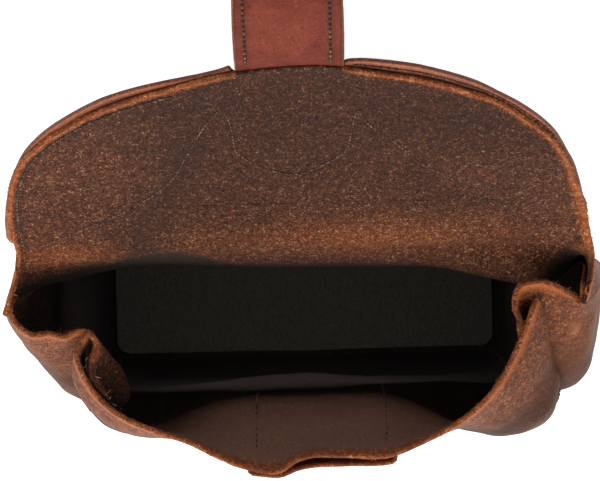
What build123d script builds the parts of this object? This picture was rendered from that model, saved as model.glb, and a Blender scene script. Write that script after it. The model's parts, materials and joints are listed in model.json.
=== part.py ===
from build123d import *
from math import cos, radians, sin
import os

# Drum stick bag: a tall leather bag that stands on its base with the mouth held open.
# The back panel runs on into a long D-shaped flap, which leans back. The side gussets fold in at the mouth.
# Millimetres. +X right, +Y to the back, +Z up. The origin is the middle of the base's underside.

# --- Driving dimensions -------------------------------------------------------------------------
HIDE = 2.2              # body leather
FLAP_HIDE = 2.0         # inner layer of the flap
OVERLAY = 1.6           # smooth leather sewn on the outside of the flap
STRAP_LAYER = 2.0       # each of the closure strap's two layers
GAP = 0.3               # air left between neighbouring panels
RIM_Z = 440.0           # top of the mouth
BASE_T = 2.4            # base panel
WALL_Z = BASE_T + 0.2   # bottom edge of the walls
WALL_X = 100.0          # half the width of the bag at its base
WALL_Y = 29.0           # half the depth of the bag at its base

FLAP_LEAN = 22.0        # the flap's lean from upright, backwards
FLAP_LENGTH = 180.0     # from the fold line to the tip
FLAP_START = 4.0        # bare hide left at the fold line, so that the flap can turn
FLAP_HALF = 109.0       # half the flap's width
FOLD_Y, FOLD_Z = 32.9, RIM_Z + 1.5  # the fold line between the back panel and the flap
BEND_T = 89.0           # second fold line, where the closed flap turns down the front
BEND_GAP = 1.0          # each side of that line
OVERLAY_START = 8.0

STRAP_X = 0.0           # middle of the closure strap
STRAP_WIDTH = 37.6
STRAP_TAIL = 116.0      # free length beyond the flap's tip
STRAP_LEAN = 45.0       # the free end leans back further than the flap
STRAP_PIVOT_T = FLAP_LENGTH + 1.5
STRAP_BASE_START = 95.0  # upper end of the sewn-on stretch
STITCH_IN = 3.0         # stitching is this far inside an edge
THREAD = 0.4            # thread radius

POCKET_X = (-22.0, 38.0)  # the slip pocket's two sides
POCKET_Z = (322.0, 433.0)
POCKET_GAP = 5.0        # room inside the pocket
POCKET_HIDE = 1.8

TAB_X = 72.0            # hanging tabs, left and right of the middle
TAB_WIDTH = 22.0
TAB_Z = (350.0, 386.0)
TAB_HIDE = 4.0          # the strip is doubled round the ring
RING_WIRE = 1.75
RING_R = 14.0
RING_TILT = 12.5
RING_Z = 388.0
BORE_CLEAR = 0.35

MAGNET_R, MAGNET_T = 9.0, 2.2
MAGNET_STEM = 3.0
FRONT_MAGNET_Z = 251.7
STRAP_MAGNET_AT = 100.0  # from the strap's pivot
RIVET_HEAD, RIVET_SHANK = 4.0, 1.5

# --- The walls: their outer faces, seen from above, at four heights ------------------------------
LEVELS = (WALL_Z, 340.0, 394.0, RIM_Z)
BACK_TOP = RIM_Z - 1.5
BACK_LEVELS = (WALL_Z, 340.0, 400.0, BACK_TOP)

BACK = (
    ((-97, 29), (-60, 29), (0, 29), (60, 29), (97, 29)),
    ((-101, 29), (-60, 29), (0, 29), (60, 29), (101, 29)),
    ((-108, 25), (-66, 29.5), (0, 29.5), (66, 29.5), (110, 27)),
    ((-112, 16), (-84, 30), (0, 34.6), (84, 34.6), (112.5, 24)),
)
FRONT = (
    ((-96, -28.5), (-60, -29), (-22, -29.3), (38, -29.3), (60, -29), (96, -28.5)),
    ((-97, -29), (-60, -30), (-22, -30.5), (38, -30.5), (60, -30), (97, -29)),
    ((-84, -34), (-60, -34), (-22, -30.5), (38, -30.5), (62, -34), (85, -35.5)),
    ((-75, -28.5), (-52, -42), (-22, -49.5), (38, -48.5), (62, -38), (82, -16.5)),
)
LEFT_GUSSET = (
    ((-99.5, 26), (-101.5, 13), (-101.5, 0), (-101.5, -13), (-99.5, -26)),
    ((-104, 25), (-105, 13), (-104.5, 0), (-103.5, -13), (-100.5, -26)),
    ((-109.5, 20), (-110.5, 5), (-105, -10), (-97, -22), (-87, -31)),
    ((-113.5, 9), (-101, 0.5), (-86, -1), (-85.5, -12), (-78, -25)),
)
RIGHT_GUSSET = (
    ((99.5, 26), (101.5, 13), (101.5, 0), (101.5, -13), (99.5, -26)),
    ((104, 25), (105, 13), (104.5, 0), (103.5, -13), (100.5, -26)),
    ((112, 20), (115, 4), (110.5, -11), (102, -24), (88.5, -32)),
    ((113.5, 14), (101, 17.5), (87, 17), (91, 4), (84.5, -12.5)),
)


def inside_line(points, thickness):
    """The same open line moved to its left by thickness, with mitred corners."""
    v = [Vector(*p) for p in points]
    normals = [Vector(-(b - a).Y, (b - a).X).normalized() for a, b in zip(v, v[1:])]
    moved = []
    for i, p in enumerate(v):
        before = normals[max(i - 1, 0)]
        after = normals[min(i, len(normals) - 1)]
        moved.append(p + (before + after) * (thickness / (1 + before.dot(after))))
    return [(m.X, m.Y) for m in moved]


def sheet_wall(levels, lines, thickness, side=1):
    """A wall whose outer face passes through each line at its height. side is 1 if its inside lies to the left."""
    wires = []
    for z, line in zip(levels, lines):
        inner = inside_line(line, thickness * side)
        ring = [(x, y, z) for x, y in (*line, *reversed(inner))]
        wires.append(Wire.make_polygon(ring, close=True))
    return Solid.make_loft(wires, ruled=True)


def outer_y(x, z):
    """Y of the front panel's outer face at that place."""
    i = max(k for k in range(len(LEVELS) - 1) if LEVELS[k] <= z + 1e-9)
    share = (z - LEVELS[i]) / (LEVELS[i + 1] - LEVELS[i])

    def along(line):
        for (x0, y0), (x1, y1) in zip(line, line[1:]):
            if x0 <= x <= x1:
                return y0 + (y1 - y0) * (x - x0) / (x1 - x0)
        raise ValueError(x)

    return along(FRONT[i]) * (1 - share) + along(FRONT[i + 1]) * share


def rod(start, end, radius):
    """A round bar between two points."""
    a, b = Vector(*start), Vector(*end)
    return Solid.make_cylinder(radius, (b - a).length, Plane(origin=a, z_dir=b - a))


def thread_run(points):
    """Sewing thread laid along a line of points, one thin bar for each straight run."""
    runs = []
    for a, b in zip(points, points[1:]):
        start, end = Vector(a), Vector(b)
        end -= (end - start).normalized() * 0.9
        runs.append(rod(start, end, THREAD))
    return Compound(runs)


def box_between(low, high):
    """A box from its lowest to its highest corner."""
    size = [b - a for a, b in zip(low, high)]
    middle = [(a + b) / 2 for a, b in zip(low, high)]
    return Pos(*middle) * Box(*size)


# --- The bag -------------------------------------------------------------------------------------
def front_panel():
    """The front wall, with a hole for the magnetic snap's stem."""
    wall = sheet_wall(LEVELS, FRONT, HIDE)
    hole = rod((STRAP_X, -60, FRONT_MAGNET_Z), (STRAP_X, 0, FRONT_MAGNET_Z), MAGNET_STEM + 0.1)
    return wall - hole


def rivet_places():
    """Middle of each rivet on the back panel's outer face."""
    return [(side * TAB_X + dx, z) for side in (-1, 1) for dx in (-6, 6) for z in (TAB_Z[0] + 8,)]


def back_panel():
    """The back wall, up to the flap's fold line, with the rivets' holes."""
    wall = sheet_wall(BACK_LEVELS, BACK, HIDE, side=-1)
    for x, z in rivet_places():
        wall -= rod((x, 0, z), (x, 60, z), RIVET_SHANK + 0.1)
    return wall


def base_panel():
    """The base, a flat plate with rounded corners. The walls stand on it."""
    outline = RectangleRounded(2 * WALL_X + 5, 2 * WALL_Y + 3, 9)
    return extrude(outline, BASE_T)


def base_insert():
    """A stiffening board, which lies loose inside on the base."""
    outline = RectangleRounded(2 * WALL_X - 9, 2 * WALL_Y - 10, 6)
    return Pos(0, 0, BASE_T + 0.3) * extrude(outline, 3.0)


def base_stitching():
    """Thread round the base, in the groove between it and the walls."""
    outer = RectangleRounded(2 * WALL_X + 4.6, 2 * WALL_Y + 2.6, 8.8)
    inner = offset(outer, -THREAD)
    return Pos(0, 0, BASE_T + 0.02) * extrude(outer - inner, THREAD)


def front_pocket():
    """The slip pocket: a face and two sides that follow the front panel, and a closed bottom."""
    x0, x1 = POCKET_X
    levels = (POCKET_Z[0], LEVELS[1], LEVELS[2], POCKET_Z[1])

    def section(z):
        back0, back1 = outer_y(x0, z) - GAP, outer_y(x1, z) - GAP
        deep = POCKET_GAP + POCKET_HIDE
        t = POCKET_HIDE
        ring = [
            (x0, back0), (x0, back0 - deep), (x1, back1 - deep), (x1, back1),
            (x1 - t, back1), (x1 - t, back1 - POCKET_GAP), (x0 + t, back0 - POCKET_GAP), (x0 + t, back0),
        ]
        return Wire.make_polygon([(x, y, z) for x, y in ring], close=True)

    channel = Solid.make_loft([section(z) for z in levels], ruled=True)
    z = POCKET_Z[0]
    back = min(outer_y(x0, z), outer_y(x1, z)) - GAP - 0.1
    bottom = box_between((x0, back - POCKET_GAP - POCKET_HIDE, z - POCKET_HIDE), (x1, back, z + 0.05))
    return channel + bottom


def pocket_stitching():
    """Thread down both sides of the pocket."""
    zs = (POCKET_Z[1] - 3, LEVELS[2], LEVELS[1], POCKET_Z[0] + 3)
    lift = GAP + POCKET_GAP + POCKET_HIDE + THREAD + 0.25
    rows = [thread_run([(x, outer_y(x, z) - lift, z) for z in zs]) for x in (POCKET_X[0] + 3, POCKET_X[1] - 3)]
    return Compound(rows)


def corner_stitching(lines, levels, right, way):
    """Thread up a corner seam, on a wall's outer face, from the base to where the mouth starts to open.

    right picks the wall's right end, and way is -1 for the front.
    """
    points = []
    for z, line in zip(levels[:-1], lines):
        a, b = (Vector(*p) for p in ((line[-1], line[-2]) if right else line[:2]))
        along = (b - a).normalized()
        out = Vector(-along.Y, along.X) * (-way if right else way)
        p = a + along * STITCH_IN + out * (THREAD + 0.4)
        points.append((p.X, p.Y, z))
    points = [Vector(*p) for p in points]
    points[0] += (points[1] - points[0]).normalized() * 3
    points[-1] -= (points[-1] - points[-2]).normalized() * 3
    return thread_run(points)


def front_magnet():
    """Fixed half of the magnetic snap: a disc outside, a washer inside and the stem between them."""
    face = outer_y(STRAP_X, FRONT_MAGNET_Z) - 0.1
    inside = face + HIDE + 0.3
    disc = rod((STRAP_X, face - MAGNET_T, FRONT_MAGNET_Z), (STRAP_X, face, FRONT_MAGNET_Z), MAGNET_R)
    stem = rod((STRAP_X, face - 1, FRONT_MAGNET_Z), (STRAP_X, inside + 0.5, FRONT_MAGNET_Z), MAGNET_STEM)
    washer = rod((STRAP_X, inside, FRONT_MAGNET_Z), (STRAP_X, inside + 1, FRONT_MAGNET_Z), MAGNET_R - 1)
    return disc + stem + washer


# --- Hanging tabs and rings, on the back ---------------------------------------------------------
TAB_Y = WALL_Y + 0.75                      # inner face of a tab, clear of the back panel
RING_Y = TAB_Y + RING_WIRE + BORE_CLEAR + TAB_HIDE / 2


def hanger_tab(x):
    """A leather strip folded round the ring's bar, its two ends riveted to the back panel."""
    low = (x - TAB_WIDTH / 2, TAB_Y, TAB_Z[0])
    high = (x + TAB_WIDTH / 2, TAB_Y + TAB_HIDE, TAB_Z[1])
    ends = [(x - TAB_WIDTH / 2, RING_Y, RING_Z), (x + TAB_WIDTH / 2, RING_Y, RING_Z)]
    tab = box_between(low, high) + rod(*ends, RING_WIRE + BORE_CLEAR + TAB_HIDE / 2)
    longer = [(ends[0][0] - 1, RING_Y, RING_Z), (ends[1][0] + 1, RING_Y, RING_Z)]
    tab -= rod(*longer, RING_WIRE + BORE_CLEAR)
    for hole_x, z in rivet_places():
        if abs(hole_x - x) < TAB_WIDTH:
            tab -= rod((hole_x, 0, z), (hole_x, 60, z), RIVET_SHANK + 0.1)
    return tab


def hanger_ring(x):
    """A D ring hanging from its straight bar and leaning on the tab."""
    half = Solid.make_torus(RING_R, RING_WIRE, Plane.XZ) & box_between((-30, -9, -30), (30, 9, 0))
    bar = rod((-RING_R, 0, 0), (RING_R, 0, 0), RING_WIRE)
    corners = [Pos(end, 0, 0) * Sphere(RING_WIRE) for end in (-RING_R, RING_R)]
    ring = half + bar + corners[0] + corners[1]
    return Pos(x, RING_Y, RING_Z) * Rot(RING_TILT, 0, 0) * ring


def tab_rivets():
    """Rivets through the tabs and the back panel, with a head at each end."""
    rivets = []
    for x, z in rivet_places():
        outside = TAB_Y + TAB_HIDE + 0.05
        inside = WALL_Y - HIDE - 0.5
        shank = rod((x, inside - 0.5, z), (x, outside + 0.5, z), RIVET_SHANK)
        head = rod((x, outside, z), (x, outside + 1.0, z), RIVET_HEAD)
        cap = rod((x, inside - 1.0, z), (x, inside, z), RIVET_HEAD - 0.5)
        rivets.append(shank + head + cap)
    return Compound(rivets)


# --- The flap, drawn flat: X across, Y along it from the fold line ------------------------------
FLAP_PLANE = Plane(
    origin=(0, FOLD_Y, FOLD_Z), x_dir=(1, 0, 0),
    z_dir=(0, -cos(radians(FLAP_LEAN)), sin(radians(FLAP_LEAN))),
)
EDGE = ((FLAP_HALF, 42), (106, 70), (98, 98), (87, 122), (69, 149), (51, 164), (24, 176.5), (0, FLAP_LENGTH))
# Right half of the overlay's stitch line, from the wing's end to the notch beside the tongue
WING = ((98, 6), (87, 19), (73, 33), (60, 48), (51, 69), (42, 97), (35, 119), (25, 131))
TONGUE_HALF, TONGUE_END, TONGUE_TOP = 23.0, 72.0, 120.0


def mirrored(points):
    """The points on the left side, in the order that goes on from the right side's last."""
    return [(-x, y) for x, y in reversed(points)]


def flap_outline(start):
    """The flap's D shape, from start to the tip."""
    right = Spline(*EDGE, tangents=[(-0.02, 1), (-1, 0)])
    left = Spline(*mirrored(EDGE), tangents=[(-1, 0), (-0.02, -1)])
    side = FLAP_HALF - 2
    lines = [Line((side, start), EDGE[0]), right, left, Line((-EDGE[0][0], EDGE[0][1]), (-side, start))]
    return make_face(Wire([*edges_of(lines), *edges_of([Line((-side, start), (side, start))])]))


def edges_of(lines):
    """The edges in a list of lines and curves."""
    return [e for line in lines for e in line.edges()]


def tongue_line(grow):
    """The middle of the overlay: down one side of the strap, round its end and up the other. grow widens it."""
    half = TONGUE_HALF + grow
    end = TONGUE_END - grow
    low = end + half * 0.55
    return [
        (STRAP_X + half, TONGUE_TOP), (STRAP_X + half, low + 10), (STRAP_X + half * 0.75, low - 2),
        (STRAP_X, end), (STRAP_X - half * 0.75, low - 2), (STRAP_X - half, low + 10), (STRAP_X - half, TONGUE_TOP),
    ]


def stitch_points(grow=0.0):
    """The overlay's whole stitch line from the right wing to the left. grow moves it off the overlay."""
    right = [(x - grow * 0.8, y - grow * 0.6) for x, y in WING]
    return [*right, *tongue_line(grow), *mirrored(right)]


def overlay_outline():
    """The flap's outline without the two bare areas next to the fold line."""
    edge = stitch_points(STITCH_IN)
    bare = make_face(Polyline(*edge, (-96, -20), (96, -20), close=True))
    return flap_outline(OVERLAY_START) - bare


def band(start, end):
    """All of the flap's plane between two distances from the fold line."""
    return Pos(0, (start + end) / 2) * Rectangle(400, end - start)


BEFORE_BEND = (-50.0, BEND_T - BEND_GAP)
AFTER_BEND = (BEND_T + BEND_GAP, 400.0)


def flap_layer(outline, depth, thickness):
    """A flat layer of the flap. depth is how far its inner face lies behind the flap's inner face."""
    return FLAP_PLANE * Pos(0, 0, -depth) * extrude(outline, -thickness)


def flap_hide(part):
    """Inner layer of the flap, before or after the bend."""
    return flap_layer(flap_outline(FLAP_START) & band(*part), 0, FLAP_HIDE)


def flap_overlay(part):
    """Outer layer of the flap, before or after the bend."""
    return flap_layer(overlay_outline() & band(*part), FLAP_HIDE + 0.02, OVERLAY)


def flap_thread(points, depth):
    """Thread on one face of the flap. depth is behind the flap's inner face, and below 0 in front of it."""
    return thread_run([tuple(FLAP_PLANE.from_local_coords(Vector(x, y, -depth))) for x, y in points])


def clipped(points, low, high):
    """The parts of a line of points between two distances from the fold line, as one list for each part."""
    dense = []
    for (x0, y0), (x1, y1) in zip(points, points[1:]):
        for k in range(12):
            dense.append((x0 + (x1 - x0) * k / 12, y0 + (y1 - y0) * k / 12))
    dense.append(points[-1])
    runs, run = [], []
    for p in dense:
        if low <= p[1] <= high:
            run.append(p)
        elif run:
            runs.append(run)
            run = []
    runs.append(run)
    return [[r[0], *r[6:-6:12], r[-1]] for r in runs if len(r) > 24]


def inset_edge():
    """The row of stitches inside the flap's edge."""
    right = [(FLAP_HALF - 2 - STITCH_IN, OVERLAY_START + 4), *[(x * 0.972, 4 + y * 0.96) for x, y in EDGE[:-1]]]
    return [*right, (0, FLAP_LENGTH - STITCH_IN), *mirrored(right)]


FACE_THREAD = -(THREAD + 0.03)             # on the inner face


def flap_edge_stitching(part):
    """Thread along the flap's edge, before or after the bend."""
    low, high = part[0] + 3, part[1] - 3
    return Compound([flap_thread(run, FACE_THREAD) for run in clipped(inset_edge(), low, high)])


def overlay_stitching(part):
    """Thread that sews the overlay's inner edge down, before or after the bend."""
    low, high = part[0] + 3, part[1] - 3
    return Compound([flap_thread(run, FACE_THREAD) for run in clipped(stitch_points(), low, high)])


# --- The closure strap ---------------------------------------------------------------------------
STRAP_SIDES = (STRAP_X - STRAP_WIDTH / 2, STRAP_X + STRAP_WIDTH / 2)
STRAP_BASE_DEPTH = FLAP_HIDE + OVERLAY + 0.05
STRAP_PIVOT = FLAP_PLANE.from_local_coords(Vector(0, STRAP_PIVOT_T, -STRAP_LAYER))
TAIL_PLANE = Plane(
    origin=STRAP_PIVOT, x_dir=(1, 0, 0),
    z_dir=(0, -cos(radians(STRAP_LEAN)), sin(radians(STRAP_LEAN))),
)
TAIL_START = 2.5


def strap_base():
    """The stretch of the strap that is sewn on the flap, rounded at its upper end."""
    radius = STRAP_WIDTH / 2
    end = STRAP_BASE_START + radius
    low, high = STRAP_SIDES
    arc = ThreePointArc((low, end), (STRAP_X, STRAP_BASE_START), (high, end))
    rest = Polyline((high, end), (high, FLAP_LENGTH - 3), (low, FLAP_LENGTH - 3), (low, end))
    return flap_layer(make_face(Wire([*arc.edges(), *rest.edges()])), STRAP_BASE_DEPTH, STRAP_LAYER)


def strap_base_stitching():
    """Thread down both sides of the sewn-on stretch."""
    depth = STRAP_BASE_DEPTH + STRAP_LAYER + THREAD + 0.05
    first = STRAP_BASE_START + STRAP_WIDTH / 2
    sides = (STRAP_SIDES[0] + STITCH_IN, STRAP_SIDES[1] - STITCH_IN)
    return Compound([flap_thread([(x, first), (x, FLAP_LENGTH - 8)], depth) for x in sides])


def tail_outline():
    """The free end of the strap, drawn flat, with a rounded tip."""
    low, high = STRAP_SIDES
    shoulder = STRAP_TAIL - 10
    tip = ThreePointArc((high, shoulder), (STRAP_X, STRAP_TAIL), (low, shoulder))
    rest = Polyline((low, shoulder), (low, TAIL_START), (high, TAIL_START), (high, shoulder))
    return make_face(Wire([*tip.edges(), *rest.edges()]))


def strap_lining():
    """Inner layer of the free end, with a hole for the magnetic snap's stem."""
    hole = Pos(STRAP_X, STRAP_MAGNET_AT) * Circle(MAGNET_STEM + 0.1)
    return TAIL_PLANE * extrude(tail_outline() - hole, STRAP_LAYER)


def strap_outer():
    """Outer layer of the free end."""
    return TAIL_PLANE * Pos(0, 0, -0.02) * extrude(tail_outline(), -STRAP_LAYER)


def strap_magnet():
    """Moving half of the magnetic snap: a disc on the lining, with a stem through it."""
    disc = Pos(STRAP_X, STRAP_MAGNET_AT, STRAP_LAYER + 0.05) * extrude(Circle(MAGNET_R), MAGNET_T)
    stem = Pos(STRAP_X, STRAP_MAGNET_AT, 0.1) * extrude(Circle(MAGNET_STEM), STRAP_LAYER)
    return TAIL_PLANE * (disc + stem)


def strap_stitching():
    """Thread down both sides of the free end."""
    height = STRAP_LAYER + THREAD + 0.03
    rows = []
    for x in (STRAP_SIDES[0] + STITCH_IN + 1, STRAP_SIDES[1] - STITCH_IN - 1):
        ends = [TAIL_PLANE.from_local_coords(Vector(x, y, height)) for y in (TAIL_START + 3, STRAP_TAIL - 12)]
        rows.append(thread_run([tuple(p) for p in ends]))
    return Compound(rows)


PARTS = {
    "back_panel": back_panel(),
    "front_panel": front_panel(),
    "left_gusset": sheet_wall(LEVELS, LEFT_GUSSET, HIDE),
    "right_gusset": sheet_wall(LEVELS, RIGHT_GUSSET, HIDE, side=-1),
    "base_panel": base_panel(),
    "base_insert": base_insert(),
    "base_stitching": base_stitching(),
    "front_pocket": front_pocket(),
    "pocket_stitching": pocket_stitching(),
    "front_left_stitching": corner_stitching(FRONT, LEVELS, False, -1),
    "front_right_stitching": corner_stitching(FRONT, LEVELS, True, -1),
    "back_left_stitching": corner_stitching(BACK, BACK_LEVELS, False, 1),
    "back_right_stitching": corner_stitching(BACK, BACK_LEVELS, True, 1),
    "front_magnet": front_magnet(),
    "hanger_tab_left": hanger_tab(-TAB_X),
    "hanger_tab_right": hanger_tab(TAB_X),
    "hanger_ring_left": hanger_ring(-TAB_X),
    "hanger_ring_right": hanger_ring(TAB_X),
    "tab_rivets": tab_rivets(),
    "flap_hide_top": flap_hide(BEFORE_BEND),
    "flap_hide_front": flap_hide(AFTER_BEND),
    "flap_overlay_top": flap_overlay(BEFORE_BEND),
    "flap_overlay_front": flap_overlay(AFTER_BEND),
    "flap_edge_stitching_top": flap_edge_stitching(BEFORE_BEND),
    "flap_edge_stitching_front": flap_edge_stitching(AFTER_BEND),
    "overlay_stitching_top": overlay_stitching(BEFORE_BEND),
    "overlay_stitching_front": overlay_stitching(AFTER_BEND),
    "strap_base": strap_base(),
    "strap_base_stitching": strap_base_stitching(),
    "strap_outer": strap_outer(),
    "strap_lining": strap_lining(),
    "strap_stitching": strap_stitching(),
    "strap_magnet": strap_magnet(),
}

os.makedirs("parts", exist_ok=True)
for name, shape in PARTS.items():
    export_step(shape, f"parts/{name}.step")
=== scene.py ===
import json
from math import cos, pi, radians, sin

import bpy
import numpy as np
from mathutils import Matrix, Vector


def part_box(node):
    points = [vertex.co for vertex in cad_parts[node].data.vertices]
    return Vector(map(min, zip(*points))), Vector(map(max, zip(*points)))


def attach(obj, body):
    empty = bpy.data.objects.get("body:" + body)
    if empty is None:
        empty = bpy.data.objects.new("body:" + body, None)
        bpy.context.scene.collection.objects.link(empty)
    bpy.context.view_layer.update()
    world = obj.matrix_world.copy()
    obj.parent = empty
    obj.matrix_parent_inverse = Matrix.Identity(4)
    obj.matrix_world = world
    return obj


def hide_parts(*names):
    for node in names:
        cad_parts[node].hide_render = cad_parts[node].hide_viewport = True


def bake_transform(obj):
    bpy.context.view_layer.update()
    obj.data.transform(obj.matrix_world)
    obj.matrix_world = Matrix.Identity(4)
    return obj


# Drum stick bag. Shapes are worked out in millimetres, in the CAD frame, and turned into metres when a
# mesh is made. +X right, +Y to the back, +Z up. t is the distance along the flap from its fold line.

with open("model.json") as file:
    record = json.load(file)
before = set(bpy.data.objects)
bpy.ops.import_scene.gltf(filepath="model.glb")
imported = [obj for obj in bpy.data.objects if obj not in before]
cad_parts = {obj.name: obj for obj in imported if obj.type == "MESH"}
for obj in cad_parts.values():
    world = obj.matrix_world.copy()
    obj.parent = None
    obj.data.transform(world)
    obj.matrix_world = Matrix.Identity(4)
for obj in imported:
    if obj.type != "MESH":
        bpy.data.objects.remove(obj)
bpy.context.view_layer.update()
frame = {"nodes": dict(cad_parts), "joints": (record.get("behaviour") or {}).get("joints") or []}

MM = 0.001
JOINT = {j["name"]: np.array(j["pos_m"]) / MM for j in frame["joints"]}
FOLD = JOINT["flap_hinge"]
BEND = JOINT["flap_bend"]
BEND_T = float(np.linalg.norm(BEND - FOLD))
ALONG = (BEND - FOLD) / BEND_T                       # along the flap, away from the fold
INWARD = np.array((0.0, -ALONG[2], ALONG[1]))        # out of the flap's inner face
PIVOT = JOINT["strap_bend"]
RIM_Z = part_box("front_panel")[1].z / MM

# Thicknesses and distances in mm
HIDE = 2.2
FLAP_HIDE = 2.0
OVERLAY = 1.5
OVERLAY_DEPTH = 2.85     # the overlay's middle, behind the flap's inner face
CUT_T = 45.0             # the flap's lower and upper pieces meet here
STRAP_LAYER = 1.9
WALL_SPACING = 1.7       # between the columns of a wall's grid
FLARE_Z = 330            # the walls flare above this height, and their rows stand closer together there


# --- Numbers -------------------------------------------------------------------------------------
def wobble(points, size, seed, octaves=2):
    """Smooth noise of about -1 to 1 at each point, with bumps about size mm across."""
    rng = np.random.default_rng(seed)
    p = np.asarray(points, float)
    total = np.zeros(p.shape[:-1])
    for octave in range(octaves):
        scale = 2 * pi / (size / 2**octave)
        for _ in range(5):
            way = rng.normal(size=3)
            way /= np.linalg.norm(way)
            phase = rng.uniform(0, 2 * pi)
            total += np.sin(p @ way * scale * rng.uniform(0.6, 1.3) + phase) / (5**0.5 * 1.6**octave)
    return total


def smooth_line(points, counts):
    """A smooth curve through the points, with so many steps in each gap. Works on lines of whole rows too."""
    p = np.asarray(points, float)
    flat = p.reshape(len(p), -1)
    gap = np.maximum(np.linalg.norm(np.diff(flat, axis=0), axis=1), 1e-6) ** 0.5
    slope = np.diff(flat, axis=0) / gap[:, None]
    m = np.empty_like(flat)
    m[0], m[-1] = slope[0], slope[-1]
    total = (gap[:-1] + gap[1:])[:, None]
    m[1:-1] = (slope[:-1] * gap[1:, None] + slope[1:] * gap[:-1, None]) / total
    rows = []
    for i, count in enumerate(counts):
        u = (np.arange(count) / count)[:, None]
        rows.append(
            (2 * u**3 - 3 * u**2 + 1) * flat[i] + (u**3 - 2 * u**2 + u) * gap[i] * m[i]
            + (3 * u**2 - 2 * u**3) * flat[i + 1] + (u**3 - u**2) * gap[i] * m[i + 1]
        )
    rows.append(flat[-1:])
    dense = np.concatenate(rows)
    return dense.reshape(len(dense), *p.shape[1:])


def listed(text):
    """Points from text such as "1,2 3,4"."""
    return [tuple(float(v) for v in point.split(",")) for point in text.split()]


def levels(text):
    """Lists of points by height, from text with each height and a colon before its points."""
    made = {}
    for word in text.split():
        if word.endswith(":"):
            line = made[float(word[:-1])] = []
        else:
            line += listed(word)
    return made


def steps(points, spacing):
    """How many steps of about that spacing each gap of a line needs."""
    gaps = np.linalg.norm(np.diff(np.asarray(points, float), axis=0), axis=1)
    return np.maximum(1, np.ceil(gaps / spacing).astype(int))


def lengths(line):
    """Distance along a line at each of its points."""
    return np.concatenate([[0], np.cumsum(np.linalg.norm(np.diff(line, axis=0), axis=1))])


def at_shares(line, shares):
    """Points on a line at these shares of its length."""
    far = lengths(line)
    at = np.asarray(shares) * far[-1]
    return np.stack([np.interp(at, far, line[:, k]) for k in range(line.shape[1])], 1)


def evenly(line, spacing):
    """The same line as evenly spaced points."""
    return at_shares(line, np.linspace(0, 1, max(2, int(round(lengths(line)[-1] / spacing)) + 1)))


def unit(vectors):
    """Rows of vectors made 1 long."""
    return vectors / np.maximum(np.linalg.norm(vectors, axis=-1, keepdims=True), 1e-9)


def grid_normals(g):
    """Unit normals of a grid of points."""
    return unit(np.cross(np.gradient(g, axis=1), np.gradient(g, axis=0)))


# --- Meshes --------------------------------------------------------------------------------------
def outward(points, faces):
    """The faces of a closed shape, turned to face out of it."""
    p = np.asarray(points)
    corners = [f[:3] for f in faces] + [(f[0], f[2], f[3]) for f in faces if len(f) > 3]
    a, b, c = (p[[corner[i] for corner in corners]] for i in range(3))
    volume = np.einsum("ij,ij->i", a, np.cross(b, c)).sum()
    return faces if volume > 0 else [list(f)[::-1] for f in faces]


def make_mesh(name, points, faces, kinds, materials, marks=None):
    """A mesh object from points in mm. kinds is the material of each face, marks are float attributes."""
    mesh = bpy.data.meshes.new(name)
    mesh.from_pydata((np.asarray(points) * MM).tolist(), [], outward(points, faces))
    for material in materials:
        mesh.materials.append(material)
    mesh.polygons.foreach_set("material_index", np.asarray(kinds, np.int32))
    mesh.polygons.foreach_set("use_smooth", np.ones(len(mesh.polygons), bool))
    for key, values in (marks or {}).items():
        mesh.attributes.new(key, "FLOAT", "POINT").data.foreach_set("value", np.asarray(values, np.float32))
    mesh.update()
    piece = bpy.data.objects.new(name, mesh)
    bpy.context.scene.collection.objects.link(piece)
    return piece


RIM_ANGLES = (30, 65, 100, 140)     # where the points round a sheet's cut edge stand, from one face to the other


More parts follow.
